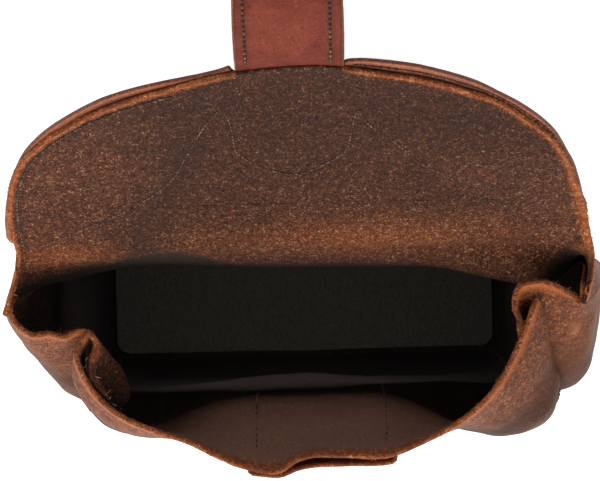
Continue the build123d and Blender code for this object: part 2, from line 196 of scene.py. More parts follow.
def sheet(name, grid, thickness, materials, marks, open_sides="", jag=0.0, seed=1, swell=0.5, normal=None):
    """A sheet of leather round a grid of points, with rounded edges. materials are those of the face on the
    normals' side, the other face and the cut edge. open_sides names the sides, of b t l r, that join
    another piece."""
    rows, cols = grid.shape[:2]
    normal = grid_normals(grid) if normal is None else normal
    count = rows * cols
    half = thickness / 2
    points = [(grid + normal * half).reshape(-1, 3), (grid - normal * half).reshape(-1, 3)]
    index = np.arange(count).reshape(rows, cols)
    a, b, c, d = index[:-1, :-1], index[:-1, 1:], index[1:, 1:], index[1:, :-1]
    front = np.stack([a, d, c, b], -1).reshape(-1, 4)
    back = np.stack([a, b, c, d], -1).reshape(-1, 4) + count
    faces = [front, back]
    kinds = [np.zeros(len(front), int), np.ones(len(back), int)]

    down, across = unit(np.gradient(grid, axis=0)), unit(np.gradient(grid, axis=1))
    ring, sides = [], []
    for side, r, c in (
        ("b", np.zeros(cols - 1, int), np.arange(cols - 1)),
        ("r", np.arange(rows - 1), np.full(rows - 1, cols - 1)),
        ("t", np.full(cols - 1, rows - 1), np.arange(cols - 1, 0, -1)),
        ("l", np.arange(rows - 1, 0, -1), np.zeros(rows - 1, int)),
    ):
        ring += list(zip(r, c))
        sides += [side] * len(r)
    rr = np.array([r for r, _ in ring])
    cc = np.array([c for _, c in ring])
    way = np.zeros((len(ring), 3))
    way -= down[rr, cc] * (rr == 0)[:, None]
    way += down[rr, cc] * (rr == rows - 1)[:, None]
    way -= across[rr, cc] * (cc == 0)[:, None]
    way += across[rr, cc] * (cc == cols - 1)[:, None]
    way = unit(way)
    base, lift = grid[rr, cc], normal[rr, cc]
    loops = [index[rr, cc]]
    made = 2 * count
    for angle in RIM_ANGLES:
        reach = half * swell * 2 * sin(radians(angle)) * (1 + jag * wobble(base, 2.6, seed + angle, 3))
        rough = jag * 0.3 * wobble(base, 1.7, seed + angle + 7, 2)[:, None]
        points.append(base + lift * (half * cos(radians(angle)) + rough) + way * reach[:, None])
        loops.append(made + np.arange(len(ring)))
        made += len(ring)
    loops.append(index[rr, cc] + count)
    closed = np.array([s not in open_sides for s in sides])
    for one, two in zip(loops, loops[1:]):
        quads = np.stack([one, np.roll(one, -1), np.roll(two, -1), two], 1)[closed]
        faces.append(quads)
        kinds.append(np.full(len(quads), 2))
    used = {}
    for key, values in marks.items():
        flat = np.asarray(values, float).reshape(-1)
        edge = flat[index[rr, cc]]
        used[key] = np.concatenate([flat, flat, *[edge] * len(RIM_ANGLES)])
    faces = np.concatenate(faces).tolist()
    return make_mesh(name, np.concatenate(points), faces, np.concatenate(kinds), materials, used)


def rolled(rings, sides):
    """Faces round a run of rings of points. The points that close its two ends come after the rings."""
    faces = []
    for i in range(rings - 1):
        for k in range(sides):
            n = (k + 1) % sides
            faces.append((i * sides + k, i * sides + n, (i + 1) * sides + n, (i + 1) * sides + k))
    end, first = (rings - 1) * sides, rings * sides
    faces += [((k + 1) % sides, k, first) for k in range(sides)]
    faces += [(end + k, end + (k + 1) % sides, first + 1) for k in range(sides)]
    return faces


def tube(centres, radii, sides=8, squash=1.0, up=(0, 0, 1)):
    """Points and faces of a closed tube along the centres, ready to join into a mesh."""
    c = np.asarray(centres, float)
    way = unit(np.gradient(c, axis=0))
    side = unit(np.cross(way, np.asarray(up, float)))
    top = np.cross(side, way)
    angle = np.arange(sides) * 2 * pi / sides
    ca, sa = np.cos(angle), np.sin(angle)
    r = np.broadcast_to(np.asarray(radii, float).reshape(len(c), -1), (len(c), sides))
    body = c[:, None] + side[:, None] * (ca * r)[..., None] + top[:, None] * (sa * r * squash)[..., None]
    return np.concatenate([body.reshape(-1, 3), c[:1], c[-1:]]), rolled(len(c), sides)


def join(parts):
    """Points, faces and the number of faces in each part, from several (points, faces)."""
    points, faces, sizes, start = [], [], [], 0
    for p, f in parts:
        points.append(p)
        faces += [tuple(i + start for i in face) for face in f]
        sizes.append(len(f))
        start += len(p)
    return np.concatenate(points), faces, sizes


def stitches(name, rows, pitch=3.0, radius=0.42, fill=0.72, rise=0.25, seed=5, hole=0.55):
    """Saddle stitches along rows of (points, normals on the leather's face), with the awl's holes between."""
    rng = np.random.default_rng(seed)
    threads, holes = [], []
    u = np.linspace(-1, 1, 8)
    for line, normals in rows:
        total = lengths(line)[-1]
        n = max(2, int(round(total / pitch)))
        shares = (np.arange(n) + 0.5) / n
        half = total / n / 2 * fill
        middle = at_shares(line, shares)
        up = at_shares(np.concatenate([line, normals], 1), shares)[:, 3:]
        before = at_shares(line, np.maximum(shares - 0.2 / n, 0))
        after = at_shares(line, np.minimum(shares + 0.2 / n, 1))
        for m, z, a, b in zip(middle, up, before, after):
            z = z / np.linalg.norm(z)
            d = (b - a) / np.linalg.norm(b - a)
            s = np.cross(d, z)
            slant = rng.uniform(0.04, 0.12)
            high = rise * (1 - 1.5 * u**2) + radius * 0.2
            c = m + np.outer(u * half, d) + np.outer(u * half * slant, s) + np.outer(high, z)
            r = radius * rng.uniform(0.9, 1.08) * np.sqrt(np.maximum(1 - (0.92 * u) ** 4, 0.05))
            ply = 1 + 0.13 * np.cos(2 * (np.arange(8) * pi / 4)[None, :] + 5.5 * u[:, None])
            threads.append(tube(c, r[:, None] * ply, up=z))
            h = m + d * (total / n / 2)
            k = np.linspace(-1, 1, 4)
            holes.append(tube(h + np.outer(k * hole, d), hole * np.sqrt(1.02 - k**2), 8, squash=0.3, up=z))
    points, faces, sizes = join(threads + holes)
    kinds = np.where(np.arange(len(faces)) < sum(sizes[: len(threads)]), 0, 1)
    return make_mesh(name, points, faces, kinds, [THREAD_MAT, HOLE_MAT])


def fibres(name, line, outward, count, length, material, spread=0.7, seed=3):
    """Loose fibres of the hide along a raw edge."""
    rng = np.random.default_rng(seed)
    shares = np.sort(rng.uniform(0, 1, count))
    both = at_shares(np.concatenate([line, outward], 1), shares)
    parts = []
    for p, o in zip(both[:, :3], both[:, 3:]):
        way = np.asarray(o) + rng.normal(size=3) * spread
        way /= np.linalg.norm(way)
        bend = rng.normal(size=3) * 0.5
        far = length * rng.uniform(0.35, 1.0) ** 1.5
        s = np.linspace(0, 1, 4)[:, None]
        c = p + rng.normal(size=3) * (0.5, 0.5, 0.3) + way * s * far + bend * s**2 * far
        parts.append(tube(c, np.array([0.1, 0.085, 0.06, 0.02]), 3, up=(0.31, 0.2, 0.93)))
    points, faces, _ = join(parts)
    return make_mesh(name, points, faces, np.zeros(len(faces), int), [material])


def on_bag(piece, slot, *nodes):
    """Hides the CAD nodes that a piece stands for and fixes it to the bag's body; slot is not used."""
    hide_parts(*nodes)
    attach(piece, "bag")


# --- Materials -----------------------------------------------------------------------------------
class Nodes:
    """Short calls for building a material's nodes."""

    def __init__(self, name):
        self.material = bpy.data.materials.new(name)
        self.material.use_nodes = True
        self.tree = self.material.node_tree
        self.shader = self.tree.nodes["Principled BSDF"]
        self.place = self.node("ShaderNodeTexCoord").outputs["Object"]

    def node(self, kind, **settings):
        made = self.tree.nodes.new(kind)
        for key, value in settings.items():
            setattr(made, key, value)
        return made

    def link(self, source, target):
        self.tree.links.new(source, target)

    def fill(self, socket, value):
        if isinstance(value, bpy.types.NodeSocket):
            self.link(value, socket)
        else:
            socket.default_value = value

    def noise(self, size_mm, detail=3.0, rough=0.55, stretch=(1, 1, 1), twist=0.0):
        mapping = self.node("ShaderNodeMapping")
        mapping.inputs["Scale"].default_value = stretch
        self.link(self.place, mapping.inputs["Vector"])
        made = self.node("ShaderNodeTexNoise")
        made.inputs["Scale"].default_value = 1000 / size_mm
        made.inputs["Detail"].default_value = detail
        made.inputs["Roughness"].default_value = rough
        made.inputs["Distortion"].default_value = twist
        self.link(mapping.outputs["Vector"], made.inputs["Vector"])
        return made.outputs["Fac"]

    def cells(self, size_mm):
        made = self.node("ShaderNodeTexVoronoi", feature="F1")
        made.inputs["Scale"].default_value = 1000 / size_mm
        self.link(self.place, made.inputs["Vector"])
        return made.outputs["Distance"]

    def band(self, value, low, high, out_low=0.0, out_high=1.0):
        made = self.node("ShaderNodeMapRange")
        made.clamp = True
        self.link(value, made.inputs["Value"])
        for key, v in (("From Min", low), ("From Max", high), ("To Min", out_low), ("To Max", out_high)):
            made.inputs[key].default_value = v
        return made.outputs["Result"]

    def mark(self, name):
        return self.node("ShaderNodeAttribute", attribute_name=name).outputs["Fac"]

    def math(self, operation, a, b):
        made = self.node("ShaderNodeMath", operation=operation)
        self.fill(made.inputs[0], a)
        self.fill(made.inputs[1], b)
        return made.outputs[0]

    def ramp(self, value, stops):
        made = self.node("ShaderNodeValToRGB")
        ramp = made.color_ramp
        while len(ramp.elements) < len(stops):
            ramp.elements.new(0.5)
        for element, (at, colour) in zip(ramp.elements, stops):
            element.position = at
            element.color = (*colour, 1)
        self.link(value, made.inputs["Fac"])
        return made.outputs["Color"]

    def mix(self, share, a, b, blend="MIX"):
        made = self.node("ShaderNodeMix", data_type="RGBA", blend_type=blend)
        self.fill(made.inputs[0], share)
        self.fill(made.inputs[6], a if isinstance(a, bpy.types.NodeSocket) else (*a, 1))
        self.fill(made.inputs[7], b if isinstance(b, bpy.types.NodeSocket) else (*b, 1))
        return made.outputs[2]

    def added(self, a, b, share):
        """a with a share of b added."""
        return self.math("ADD", a, self.math("MULTIPLY", b, share))

    def stain(self, mark, most, under, colour):
        """A colour over another one, as far as a mark says and at most so much."""
        return self.mix(self.band(self.mark(mark), 0, 1, 0, most), under, colour)

    def bump(self, heights):
        """Bumps from (height, depth in mm) pairs, chained."""
        normal = None
        for height, depth in heights:
            made = self.node("ShaderNodeBump")
            made.inputs["Distance"].default_value = depth * MM
            made.inputs["Strength"].default_value = 1.0
            self.link(height, made.inputs["Height"])
            if normal is not None:
                self.link(normal, made.inputs["Normal"])
            normal = made.outputs["Normal"]
        self.link(normal, self.shader.inputs["Normal"])

    def finish(self, colour, rough, sheen=0.0, metal=0.0, specular=0.5):
        self.link(colour, self.shader.inputs["Base Color"])
        self.fill(self.shader.inputs["Roughness"], rough)
        for key, value in (("Sheen Weight", sheen), ("Sheen Roughness", 0.45), ("Metallic", metal),
                           ("Specular IOR Level", specular)):
            self.shader.inputs[key].default_value = value
        return self.material


def rgb(r, g, b):
    """Linear colour from 0 to 255 display values."""
    return tuple(((v / 255 + 0.055) / 1.055) ** 2.4 if v > 10 else v / 255 / 12.92 for v in (r, g, b))


def suede():
    """The flesh side: short nap with dark and light flecks, worn to orange near raw edges. Painted shade darkens
    it deep in the bag, beside the overlay's left wing, under the strap's end, high on the flap and in the stitch
    grooves; painted light makes the front wall's inside paler.
    """
    n = Nodes("suede")
    lie = (1, 1, 0.5)
    fine, nap, cloud = n.noise(0.8, 4, 0.85, lie), n.noise(2.0, 4, 0.75, lie), n.noise(38, 4, 0.6, twist=0.4)
    speck = n.added(n.math("MULTIPLY", fine, 0.68), nap, 0.32)
    colour = n.ramp(speck, [
        (0.37, rgb(20, 10, 7)), (0.455, rgb(47, 27, 19)), (0.51, rgb(74, 43, 28)),
        (0.57, rgb(108, 67, 44)), (0.64, rgb(196, 150, 112)),
    ])
    warm = n.mix(n.band(n.noise(1.1, 2, 0.7), 0.52, 0.68, 0, 0.6), colour, rgb(104, 44, 26))
    shade = n.band(cloud, 0.32, 0.68, 0.7, 1.0)
    tinted = n.mix(1.0, warm, n.ramp(shade, [(0.0, (0, 0, 0)), (1.0, (1, 1, 1))]), "MULTIPLY")
    # Painted light: the inside of the front wall is made paler below its rim.
    tinted = n.stain("painted_light", 0.7, tinted, rgb(150, 114, 98))
    orange = n.ramp(speck, [(0.38, rgb(84, 38, 18)), (0.52, rgb(150, 78, 38)), (0.68, rgb(222, 160, 106))])
    rim = n.band(n.added(n.mark("rim"), nap, 0.5), 0.42, 1.1, 0, 0.92)
    worn = n.mix(rim, n.stain("worn", 0.6, tinted, orange), orange)
    # Painted shade: darker deep in the bag and on the base, beside the overlay's left wing, under the strap's
    # end and a little high on the flap.
    deep = n.stain("deep", 0.9, worn, rgb(32, 27, 24))
    # Painted shade in the stitch grooves and high on the flap.
    groove = n.stain("groove", 0.75, deep, rgb(26, 14, 10))
    n.bump([(cloud, 0.6), (nap, 0.55), (fine, 0.5)])
    return n.finish(groove, 0.95, sheen=0.03, specular=0.06)


def raw_edge():
    """The hide's cut edge: fuzzy, orange-brown, with pale fibres, and darkened with painted shade deep in the
    bag.
    """
    n = Nodes("raw_edge")
    fine, nap = n.noise(0.55, 4, 0.8), n.noise(1.5, 4, 0.75, twist=0.6)
    speck = n.added(n.math("MULTIPLY", fine, 0.6), nap, 0.4)
    colour = n.ramp(speck, [
        (0.36, rgb(66, 28, 14)), (0.46, rgb(124, 60, 30)), (0.54, rgb(176, 102, 58)),
        (0.66, rgb(244, 200, 154)),
    ])
    shaded = n.mix(n.band(n.noise(11, 4), 0.38, 0.62, 0, 0.65), colour, rgb(96, 48, 27))
    # Painted shade: the cut edge is darker deep in the bag and near the front of the side folds.
    deep = n.stain("deep", 0.92, shaded, rgb(34, 22, 16))
    n.bump([(nap, 0.9), (fine, 0.6)])
    return n.finish(deep, 0.95, sheen=0.04, specular=0.08)


def grain_side():
    """The bag's outside: tan-brown grain, rougher and browner near the mouth, with a painted highlight along
    creases and painted shade in the stitch grooves and high on the flap.
    """
    n = Nodes("hide_grain")
    mottle, fine, pores = n.noise(46, 5, 0.6, twist=0.25), n.noise(0.9, 4, 0.75), n.cells(1.3)
    wrinkle, scar = n.noise(5, 4, 0.6, (1, 1, 0.6), 0.5), n.noise(2.6, 5, 0.75, twist=0.5)
    colour = n.ramp(mottle, [
        (0.32, rgb(50, 26, 15)), (0.47, rgb(66, 36, 20)), (0.58, rgb(79, 43, 25)), (0.72, rgb(100, 59, 36)),
    ])
    scuff = n.mix(n.band(scar, 0.54, 0.74, 0, 0.55), colour, rgb(120, 78, 52))
    pitted = n.mix(n.band(pores, 0.08, 0.22, 0.55, 0), scuff, rgb(40, 20, 13))
    brushed = n.ramp(n.added(n.math("MULTIPLY", fine, 0.6), scar, 0.4), [
        (0.36, rgb(38, 17, 10)), (0.46, rgb(76, 38, 20)), (0.54, rgb(110, 60, 33)), (0.68, rgb(184, 124, 80)),
    ])
    rough = n.band(n.added(n.mark("rough"), mottle, 0.5), 0.4, 1.0, 0, 0.95)
    lit = n.mix(rough, pitted, brushed)
    near = n.band(n.added(n.mark("rim"), fine, 0.5), 0.5, 1.2, 0, 0.9)
    orange = n.mix(near, lit, rgb(158, 86, 44))
    # Painted highlight along the raised crease on the right side fold.
    crease_highlight = n.mix(n.band(n.mark("crease_highlight"), 0.1, 1.0, 0, 0.6), orange, rgb(150, 96, 64))
    # Painted shade in the stitch grooves and high on the flap.
    groove = n.stain("groove", 0.6, crease_highlight, rgb(30, 15, 11))
    n.bump([(mottle, 0.5), (wrinkle, 0.3), (fine, 0.2), (pores, 0.12)])
    return n.finish(groove, n.band(mottle, 0.3, 0.7, 0.7, 0.58), sheen=0.02, specular=0.1)


def smooth_side():
    """The overlay and the tabs: smooth red-brown leather with scuffs and fine grain, orange at its edges, and
    painted shade in its stitch grooves.
    """
    n = Nodes("overlay_grain")
    mottle, grain, pores = n.noise(34, 4, 0.6, twist=0.3), n.noise(0.8, 4, 0.7), n.cells(1.0)
    colour = n.ramp(mottle, [(0.32, rgb(76, 36, 25)), (0.5, rgb(96, 48, 33)), (0.7, rgb(116, 62, 42))])
    scuff = n.mix(n.band(n.noise(3.6, 5, 0.75, twist=0.6), 0.56, 0.74, 0, 0.6), colour, rgb(150, 92, 60))
    pitted = n.mix(n.band(pores, 0.08, 0.2, 0.5, 0), scuff, rgb(46, 20, 14))
    rub = n.ramp(grain, [(0.36, rgb(112, 56, 30)), (0.52, rgb(160, 88, 50)), (0.68, rgb(206, 146, 98))])
    rim = n.band(n.added(n.mark("rim"), mottle, 0.4), 0.45, 1.0, 0, 0.95)
    worn = n.mix(rim, pitted, rub)
    # Painted shade in the stitch grooves.
    groove = n.stain("groove", 0.7, worn, rgb(34, 16, 11))
    n.bump([(mottle, 0.3), (grain, 0.16), (pores, 0.08)])
    return n.finish(groove, n.band(grain, 0.35, 0.65, 0.58, 0.46), specular=0.2)


def strap_side():
    """The strap: smooth red-brown leather with small dark pits and a burnished edge, and painted shade in its
    stitch grooves.
    """
    n = Nodes("strap_grain")
    mottle, grain = n.noise(20, 4, 0.6, twist=0.3), n.noise(0.8, 4, 0.75)
    colour = n.ramp(mottle, [(0.32, rgb(78, 30, 18)), (0.5, rgb(96, 38, 24)), (0.7, rgb(112, 50, 34))])
    pits = n.noise(1.5, 3, 0.75, (1, 0.8, 0.8), 0.4)
    pitted = n.mix(n.band(pits, 0.60, 0.68, 0, 0.85), colour, rgb(48, 18, 14))
    light = n.mix(n.band(n.noise(1.9, 4, 0.75), 0.58, 0.72, 0, 0.5), pitted, rgb(146, 82, 62))
    fine = n.mix(n.band(grain, 0.38, 0.5, 0.5, 0), light, rgb(60, 24, 18))
    # Painted shade in the stitch grooves.
    groove = n.stain("groove", 0.7, fine, rgb(44, 18, 13))
    dark = n.mix(n.band(n.mark("rim"), 0.2, 1, 0, 0.55), groove, rgb(60, 25, 18))
    n.bump([(mottle, 0.25), (pits, 0.25), (grain, 0.14)])
    return n.finish(dark, n.band(grain, 0.35, 0.65, 0.66, 0.54), specular=0.07)


def burnished():
    """A rubbed cut edge."""
    n = Nodes("burnished_edge")
    layers, grain = n.noise(1.0, 4, 0.7, (1, 1, 3)), n.noise(0.5, 3, 0.6)
    colour = n.ramp(layers, [(0.32, rgb(50, 22, 15)), (0.52, rgb(92, 46, 29)), (0.7, rgb(148, 90, 56))])
    n.bump([(layers, 0.2), (grain, 0.12)])
    return n.finish(colour, n.band(grain, 0.3, 0.7, 0.65, 0.5), specular=0.18)


def thread():
    """Waxed thread, grey-tan, two plies."""
    n = Nodes("waxed_thread")
    fibre, dirt = n.noise(0.35, 3, 0.7), n.noise(5, 3, 0.6)
    colour = n.ramp(fibre, [(0.3, rgb(58, 40, 29)), (0.5, rgb(98, 72, 52)), (0.7, rgb(168, 138, 108))])
    grimy = n.mix(n.band(dirt, 0.4, 0.56, 0, 0.92), colour, rgb(50, 30, 20))
    n.bump([(fibre, 0.12)])
    return n.finish(grimy, n.band(fibre, 0.3, 0.7, 0.75, 0.6), sheen=0.05, specular=0.15)


def awl_hole():
    """The shadowed leather inside a stitch hole."""
    n = Nodes("awl_hole")
    fine = n.noise(0.5, 2)
    n.bump([(fine, 0.1)])
    return n.finish(n.ramp(fine, [(0.3, rgb(20, 12, 10)), (0.7, rgb(46, 27, 21))]), 0.95, specular=0.1)


def board():
    """Grey-brown fibreboard."""
    n = Nodes("fibre_board")
    fibre, fleck = n.noise(0.9, 4, 0.7, (1, 0.5, 1)), n.cells(2.4)
    colour = n.ramp(fibre, [(0.3, rgb(68, 62, 56)), (0.5, rgb(80, 73, 66)), (0.7, rgb(94, 86, 78))])
    flecked = n.mix(n.band(fleck, 0.08, 0.2, 0.4, 0), colour, rgb(48, 42, 37))
    n.bump([(fibre, 0.15)])
    return n.finish(flecked, n.band(fibre, 0.3, 0.7, 0.95, 0.8), specular=0.3)


def brass():
    """Aged brass: duller and browner in patches, with fine scratches."""
    n = Nodes("aged_brass")
    patch, scratch, fine = n.noise(6, 5, 0.65, twist=0.8), n.noise(0.6, 3, 0.6, (6, 1, 1)), n.noise(0.4, 2)
    colour = n.ramp(patch, [(0.32, rgb(96, 72, 40)), (0.48, rgb(156, 122, 66)), (0.62, rgb(190, 154, 90))])
    n.bump([(patch, 0.06), (scratch, 0.015), (fine, 0.01)])
    return n.finish(colour, n.band(patch, 0.35, 0.65, 0.5, 0.26), metal=1.0)


def fluff(name, tones):
    """Fibres that stand out of the hide's raw edges."""
    n = Nodes(name)
    stops = [(at, rgb(*tone)) for at, tone in zip((0.32, 0.5, 0.68), tones)]
    return n.finish(n.ramp(n.noise(2.5, 3, 0.7), stops), 0.9, specular=0.1)


FLUFF = fluff("fibre", ((96, 46, 22), (170, 96, 54), (224, 164, 114)))
PALE_FLUFF = fluff("pale_fibre", ((150, 130, 112), (196, 178, 158), (228, 214, 196)))
SUEDE, RAW, GRAIN = suede(), raw_edge(), grain_side()
SMOOTH, STRAP, BURNISHED = smooth_side(), strap_side(), burnished()
THREAD_MAT, HOLE_MAT, BOARD_MAT, BRASS_MAT = thread(), awl_hole(), board(), brass()
BODY_MATERIALS = [GRAIN, SUEDE, RAW]
OVERLAY_MATERIALS = [SMOOTH, SMOOTH, BURNISHED]
STRAP_MATERIALS = [STRAP, STRAP, BURNISHED]


# --- The flap's surface --------------------------------------------------------------------------
def flap_sway(x, t):
    """How far the flap's leather stands behind its flat plane, from 0 to about 2 mm."""
    p = np.stack([x, t, np.zeros_like(x)], -1)
    fade = np.clip((t - 8) / 25, 0, 1)
    return fade * (0.9 + 0.9 * wobble(p, 120, 11, 1) * np.clip(1 - np.abs(t - BEND_T) / 20, 0.3, 1))


def flap_point(x, t, depth):
    """A point on the flap, depth mm behind its inner face."""
    x, t = np.broadcast_arrays(np.asarray(x, float), np.asarray(t, float))
    back = depth + flap_sway(x, t)
    return FOLD + x[..., None] * np.array((1.0, 0, 0)) + t[..., None] * ALONG - back[..., None] * INWARD


HIDE_EDGE = listed("""
    -109.6,45 -108.4,58 -106.8,69 -105,78 -102.2,88 -97.2,98.8 -92.2,108.6 -87.5,115.6 -83,121.2 -78.4,127.6
    -69.8,136.6 -57,147 -44.6,154.6 -32.4,161.6 -20.4,167 -10.4,169.6 0.2,171.6 10.8,171.6 18.9,169.2 27.8,166
    39.6,161.4 51.4,155.6 63.9,146.4 70.6,141 76.1,135.2 81,128.2 86,119.8 91,111.8 94.4,105.4 98.1,96.8
    100.9,88.2 103.4,76.8 105.4,66.6 107.6,55.6 109.6,45
""")
OVERLAY_EDGE = listed("""
    -110.6,45 -108.4,58.5 -105.6,73.2 -101.8,87.6 -97,101.6 -90.1,115.1 -83.6,124.9 -75.5,135.3 -68,143.4
    -60.6,149 -53.1,153.5 -45.9,156.9 -38.7,159.9 -31.4,162.9 -24.1,166.7 -21.5,168.6 -20,165 -17,163.5 0,164
    15.4,164.5 18.6,166.5 19.8,171.2 24.8,172.2 31.7,170.9 38.7,168.7 45.7,165.8 52.8,161.4 59.9,156.3
    67.1,149.9 74.5,140.9 82.1,131.2 89.9,118.8 95.9,106.5 100.3,93 105,74.6 107.6,59.6 109.8,45
""")
# The overlay's stitch line as (x, t): up the left wing, round the tongue's U and down the right wing
LEFT_WING = listed("""
    -106,6 -98.7,10.7 -82,25.6 -67.5,39.3 -55.2,55 -46.9,69.5 -39.8,93.6 -33.7,117 -28.3,133 -25.4,137.5
""")
TONGUE = listed("""
    -23.4,131 -22.2,120.9 -21.8,109.6 -20.7,97.2 -14.4,84.2 -5,76 1.5,74.6 11.5,82.6 19.3,95.6 21.6,113.5
    23,129 24.2,134.6
""")
RIGHT_WING = listed("""
    27.8,122.4 39.7,100.1 47.3,83.2 55,72.9 78.7,41.1 101,8
""")
# The overlay's inner edge, outside that line
LEFT_INNER = listed("""
    -101.5,5 -96.5,8.7 -80,23.4 -65.3,37.2 -52.8,53.2 -44,68.5 -36.8,92.8 -30.7,116 -26.4,129.5
""")
TONGUE_EDGE = listed("""
    -26.4,129.5 -24.8,120.9 -24.4,109 -23.3,96.5 -16.5,82.3 -5.5,73.2 1.8,71.8 13.3,80.6 21.8,94.6 24.2,113
    25.6,127
""")
RIGHT_INNER = listed("""
    25.6,127 27.4,118 37.2,98.6 44.9,81.5 52.7,71 76.6,38.9 94,12 98.5,5
""")
OVERLAY_SPLIT = 33.0     # the tongue's share of the overlay's outer edge ends at this x, on both sides


def dense(points, count=10):
    """A smooth line through points, with count steps in each gap."""
    return smooth_line(points, [count] * (len(points) - 1))


def distance_to(x, t, line):
    """Distance from each (x, t) to the nearest point of a line."""
    best = np.full(x.shape, 1e9)
    for px, pt in line:
        best = np.minimum(best, (x - px) ** 2 + (t - pt) ** 2)
    return np.sqrt(best)


def near_line(x, t, line, width):
    """A mark of 0.6 on a line of (x, t) points, falling to 0 beside it."""
    return 0.6 * np.exp(-((distance_to(x, t, line) / width) ** 2))


# --- The bag's walls: the middle of the leather at each height, left to right ---------------------
FRONT = levels("""
    2.6: -97,-26 -95,-27.6 -90,-28 -80,-28 -70,-28 -58,-28 -44,-28 -33,-28 -22,-28.2 -8,-28.2 -2,-28.2 4,-28.2
    19,-28.2 33,-28.2 46,-28 63,-28 83,-28 95,-27.6 97,-26
    24: -100,-26.6 -97,-28.6 -91,-29.4 -80,-29.8 -70,-30 -58,-30 -44,-30 -33,-30 -22,-30 -8,-30 -2,-30 4,-30
    19,-30 33,-30 46,-30 63,-30 83,-29.6 97,-28.6 100,-26.6
    120: -100.6,-27 -97,-28.6 -91,-29.8 -81,-31.2 -70,-32.2 -58,-32.8 -44,-33 -33,-32.8 -22,-32.4 -8,-32
    -2,-32 4,-32.2 19,-32.8 33,-33.3 46,-33.4 63,-33 83,-31.2 97,-28.6 100.6,-27
    250: -100.6,-27.5 -96.5,-28.9 -90,-29.8 -80,-30.4 -70,-30.4 -58,-29.9 -44,-29.3 -33,-29.1 -22,-29.1
    -8,-29.1 -2,-29.1 4,-29.1 19,-29.1 33,-29.2 46,-29.6 63,-30.4 83,-30.6 96.5,-29 100.6,-27.6
    340: -96.5,-25.6 -92.6,-27.6 -87.8,-29 -82,-30.6 -72,-30.8 -58,-30.3 -44,-29.7 -33,-29.5 -22,-29.4
    -8,-29.4 -2,-29.4 4,-29.4 19,-29.4 33,-29.4 46,-29.7 63,-30.6 83,-32.4 97,-31.2 101.6,-28.6
    370: -87,-27 -86,-30.2 -82.6,-33.6 -77.6,-37.2 -70,-40 -58,-37.4 -44,-32.6 -33,-30.4 -22,-29.6 -8,-29.4
    -2,-29.4 4,-29.4 19,-29.4 33,-29.8 46,-33.2 63,-39.4 83,-44.4 100,-40.6 105.6,-31
    395: -87,-26 -86.8,-30 -83.6,-34.6 -78.2,-38.8 -69.4,-41.4 -58,-40.8 -44,-35.5 -33,-31.4 -22,-29.6
    -8,-29.4 -2,-29.4 4,-29.4 19,-29.3 33,-29.7 46,-33.4 63,-41 84,-44.4 100,-36.8 104.4,-20
    410: -87.6,-17.4 -88.2,-22.6 -85.2,-29 -79.4,-35 -70.4,-39.6 -58,-41.4 -44,-39 -33,-36 -22,-34.6 -8,-34.4
    -2,-34 4,-33.6 19,-33.4 33,-33.8 46,-36.6 63,-40.4 82.5,-38.4 97,-24 101.3,-7
    425: -87,-9 -90,-15 -88,-22.5 -82,-30 -72,-36.6 -58,-40.4 -44,-42 -33,-43.6 -22,-44.8 -8,-45.4 -2,-44.4
    4,-43.6 19,-43.4 33,-43.8 46,-43.4 62,-39.9 79.5,-31.5 93,-15 98.3,2.5
    440: -83.5,1.5 -88,-5.5 -86.2,-14 -80.5,-23 -71,-31.7 -58,-37.7 -44,-42.8 -33,-48.4 -22,-53 -9,-54.9
    -3.6,-51.4 3,-49.4 19,-49.8 33,-50.2 45,-46.2 60,-38.4 74,-26.8 86,-8.5 93.8,10.5
""")
LEFT_GUSSET = levels("""
    2.6: -95,26.6 -98.5,25.4 -100.3,21 -100.6,14 -100.6,8 -100.6,1 -100.6,-5 -100.6,-11 -100.6,-17
    -100.2,-21.6 -98.4,-24.6 -95,-25.6
    24: -95,26.9 -99.6,26.2 -101.8,21 -102.3,14 -102.4,8 -102.4,1 -102.3,-5 -102.2,-11 -101.9,-17 -101.4,-22
    -99.4,-25.4 -95,-26.6
    120: -95,26.9 -100.2,26 -102.2,21 -101.8,14 -101.1,8 -100.7,1 -100.8,-5 -101.2,-11 -101.7,-17 -101.7,-22.4
    -99.6,-25.6 -95,-26.9
    250: -95.5,26.9 -100.6,26 -102.9,21 -102.6,14 -101.7,8 -101.1,1 -101,-5 -101.4,-11 -102,-17 -101.8,-22.4
    -99.6,-25.8 -95,-27
    340: -97.5,26.6 -103,25.4 -105.6,20 -106.4,13 -106.2,5.5 -105.2,-1.6 -103.8,-7.4 -102,-13.2 -100.2,-18
    -98,-21.6 -95.4,-24 -91.6,-25.2
    370: -112.6,15.6 -115.6,6.4 -113.6,-1.4 -107.8,-9.4 -101.6,-16.6 -96.6,-22.6 -91,-26.4 -84.6,-27.2
    -82.5,-29 -85,-30.6 -85.4,-32.8 -81.5,-36
    395: -113.4,14.4 -115.6,6.2 -112.4,-0.6 -106.6,-8.8 -100.6,-15.8 -95,-20.6 -86.5,-22 -75,-22.6 -70.6,-26
    -74,-29.8 -79,-32.4 -78.4,-35.4
    410: -113.8,15 -115.8,7.4 -112.2,0.6 -106,-7.2 -99.6,-12.2 -92.6,-14 -84.4,-13.6 -75.6,-14 -71.2,-18
    -74,-23.6 -79,-28.6 -77,-32.8
    425: -113.6,15.6 -115.4,9 -112,2.6 -106.2,-3.4 -100,-5.2 -93.4,-6 -87,-5.2 -79.4,-5.8 -76,-10.4 -79,-16.5
    -81.6,-21.8 -77,-27.6
    440: -114.2,12.4 -113.6,9 -110.8,4.8 -105,1.4 -99,1.8 -93,0 -88.3,1.7 -84,1.4 -80.8,-2.8 -82.6,-9.2
    -82.2,-15.6 -77.2,-22.8
""")
MIRRORED = (2.6, 24, 120)     # heights where the right side fold mirrors the left one
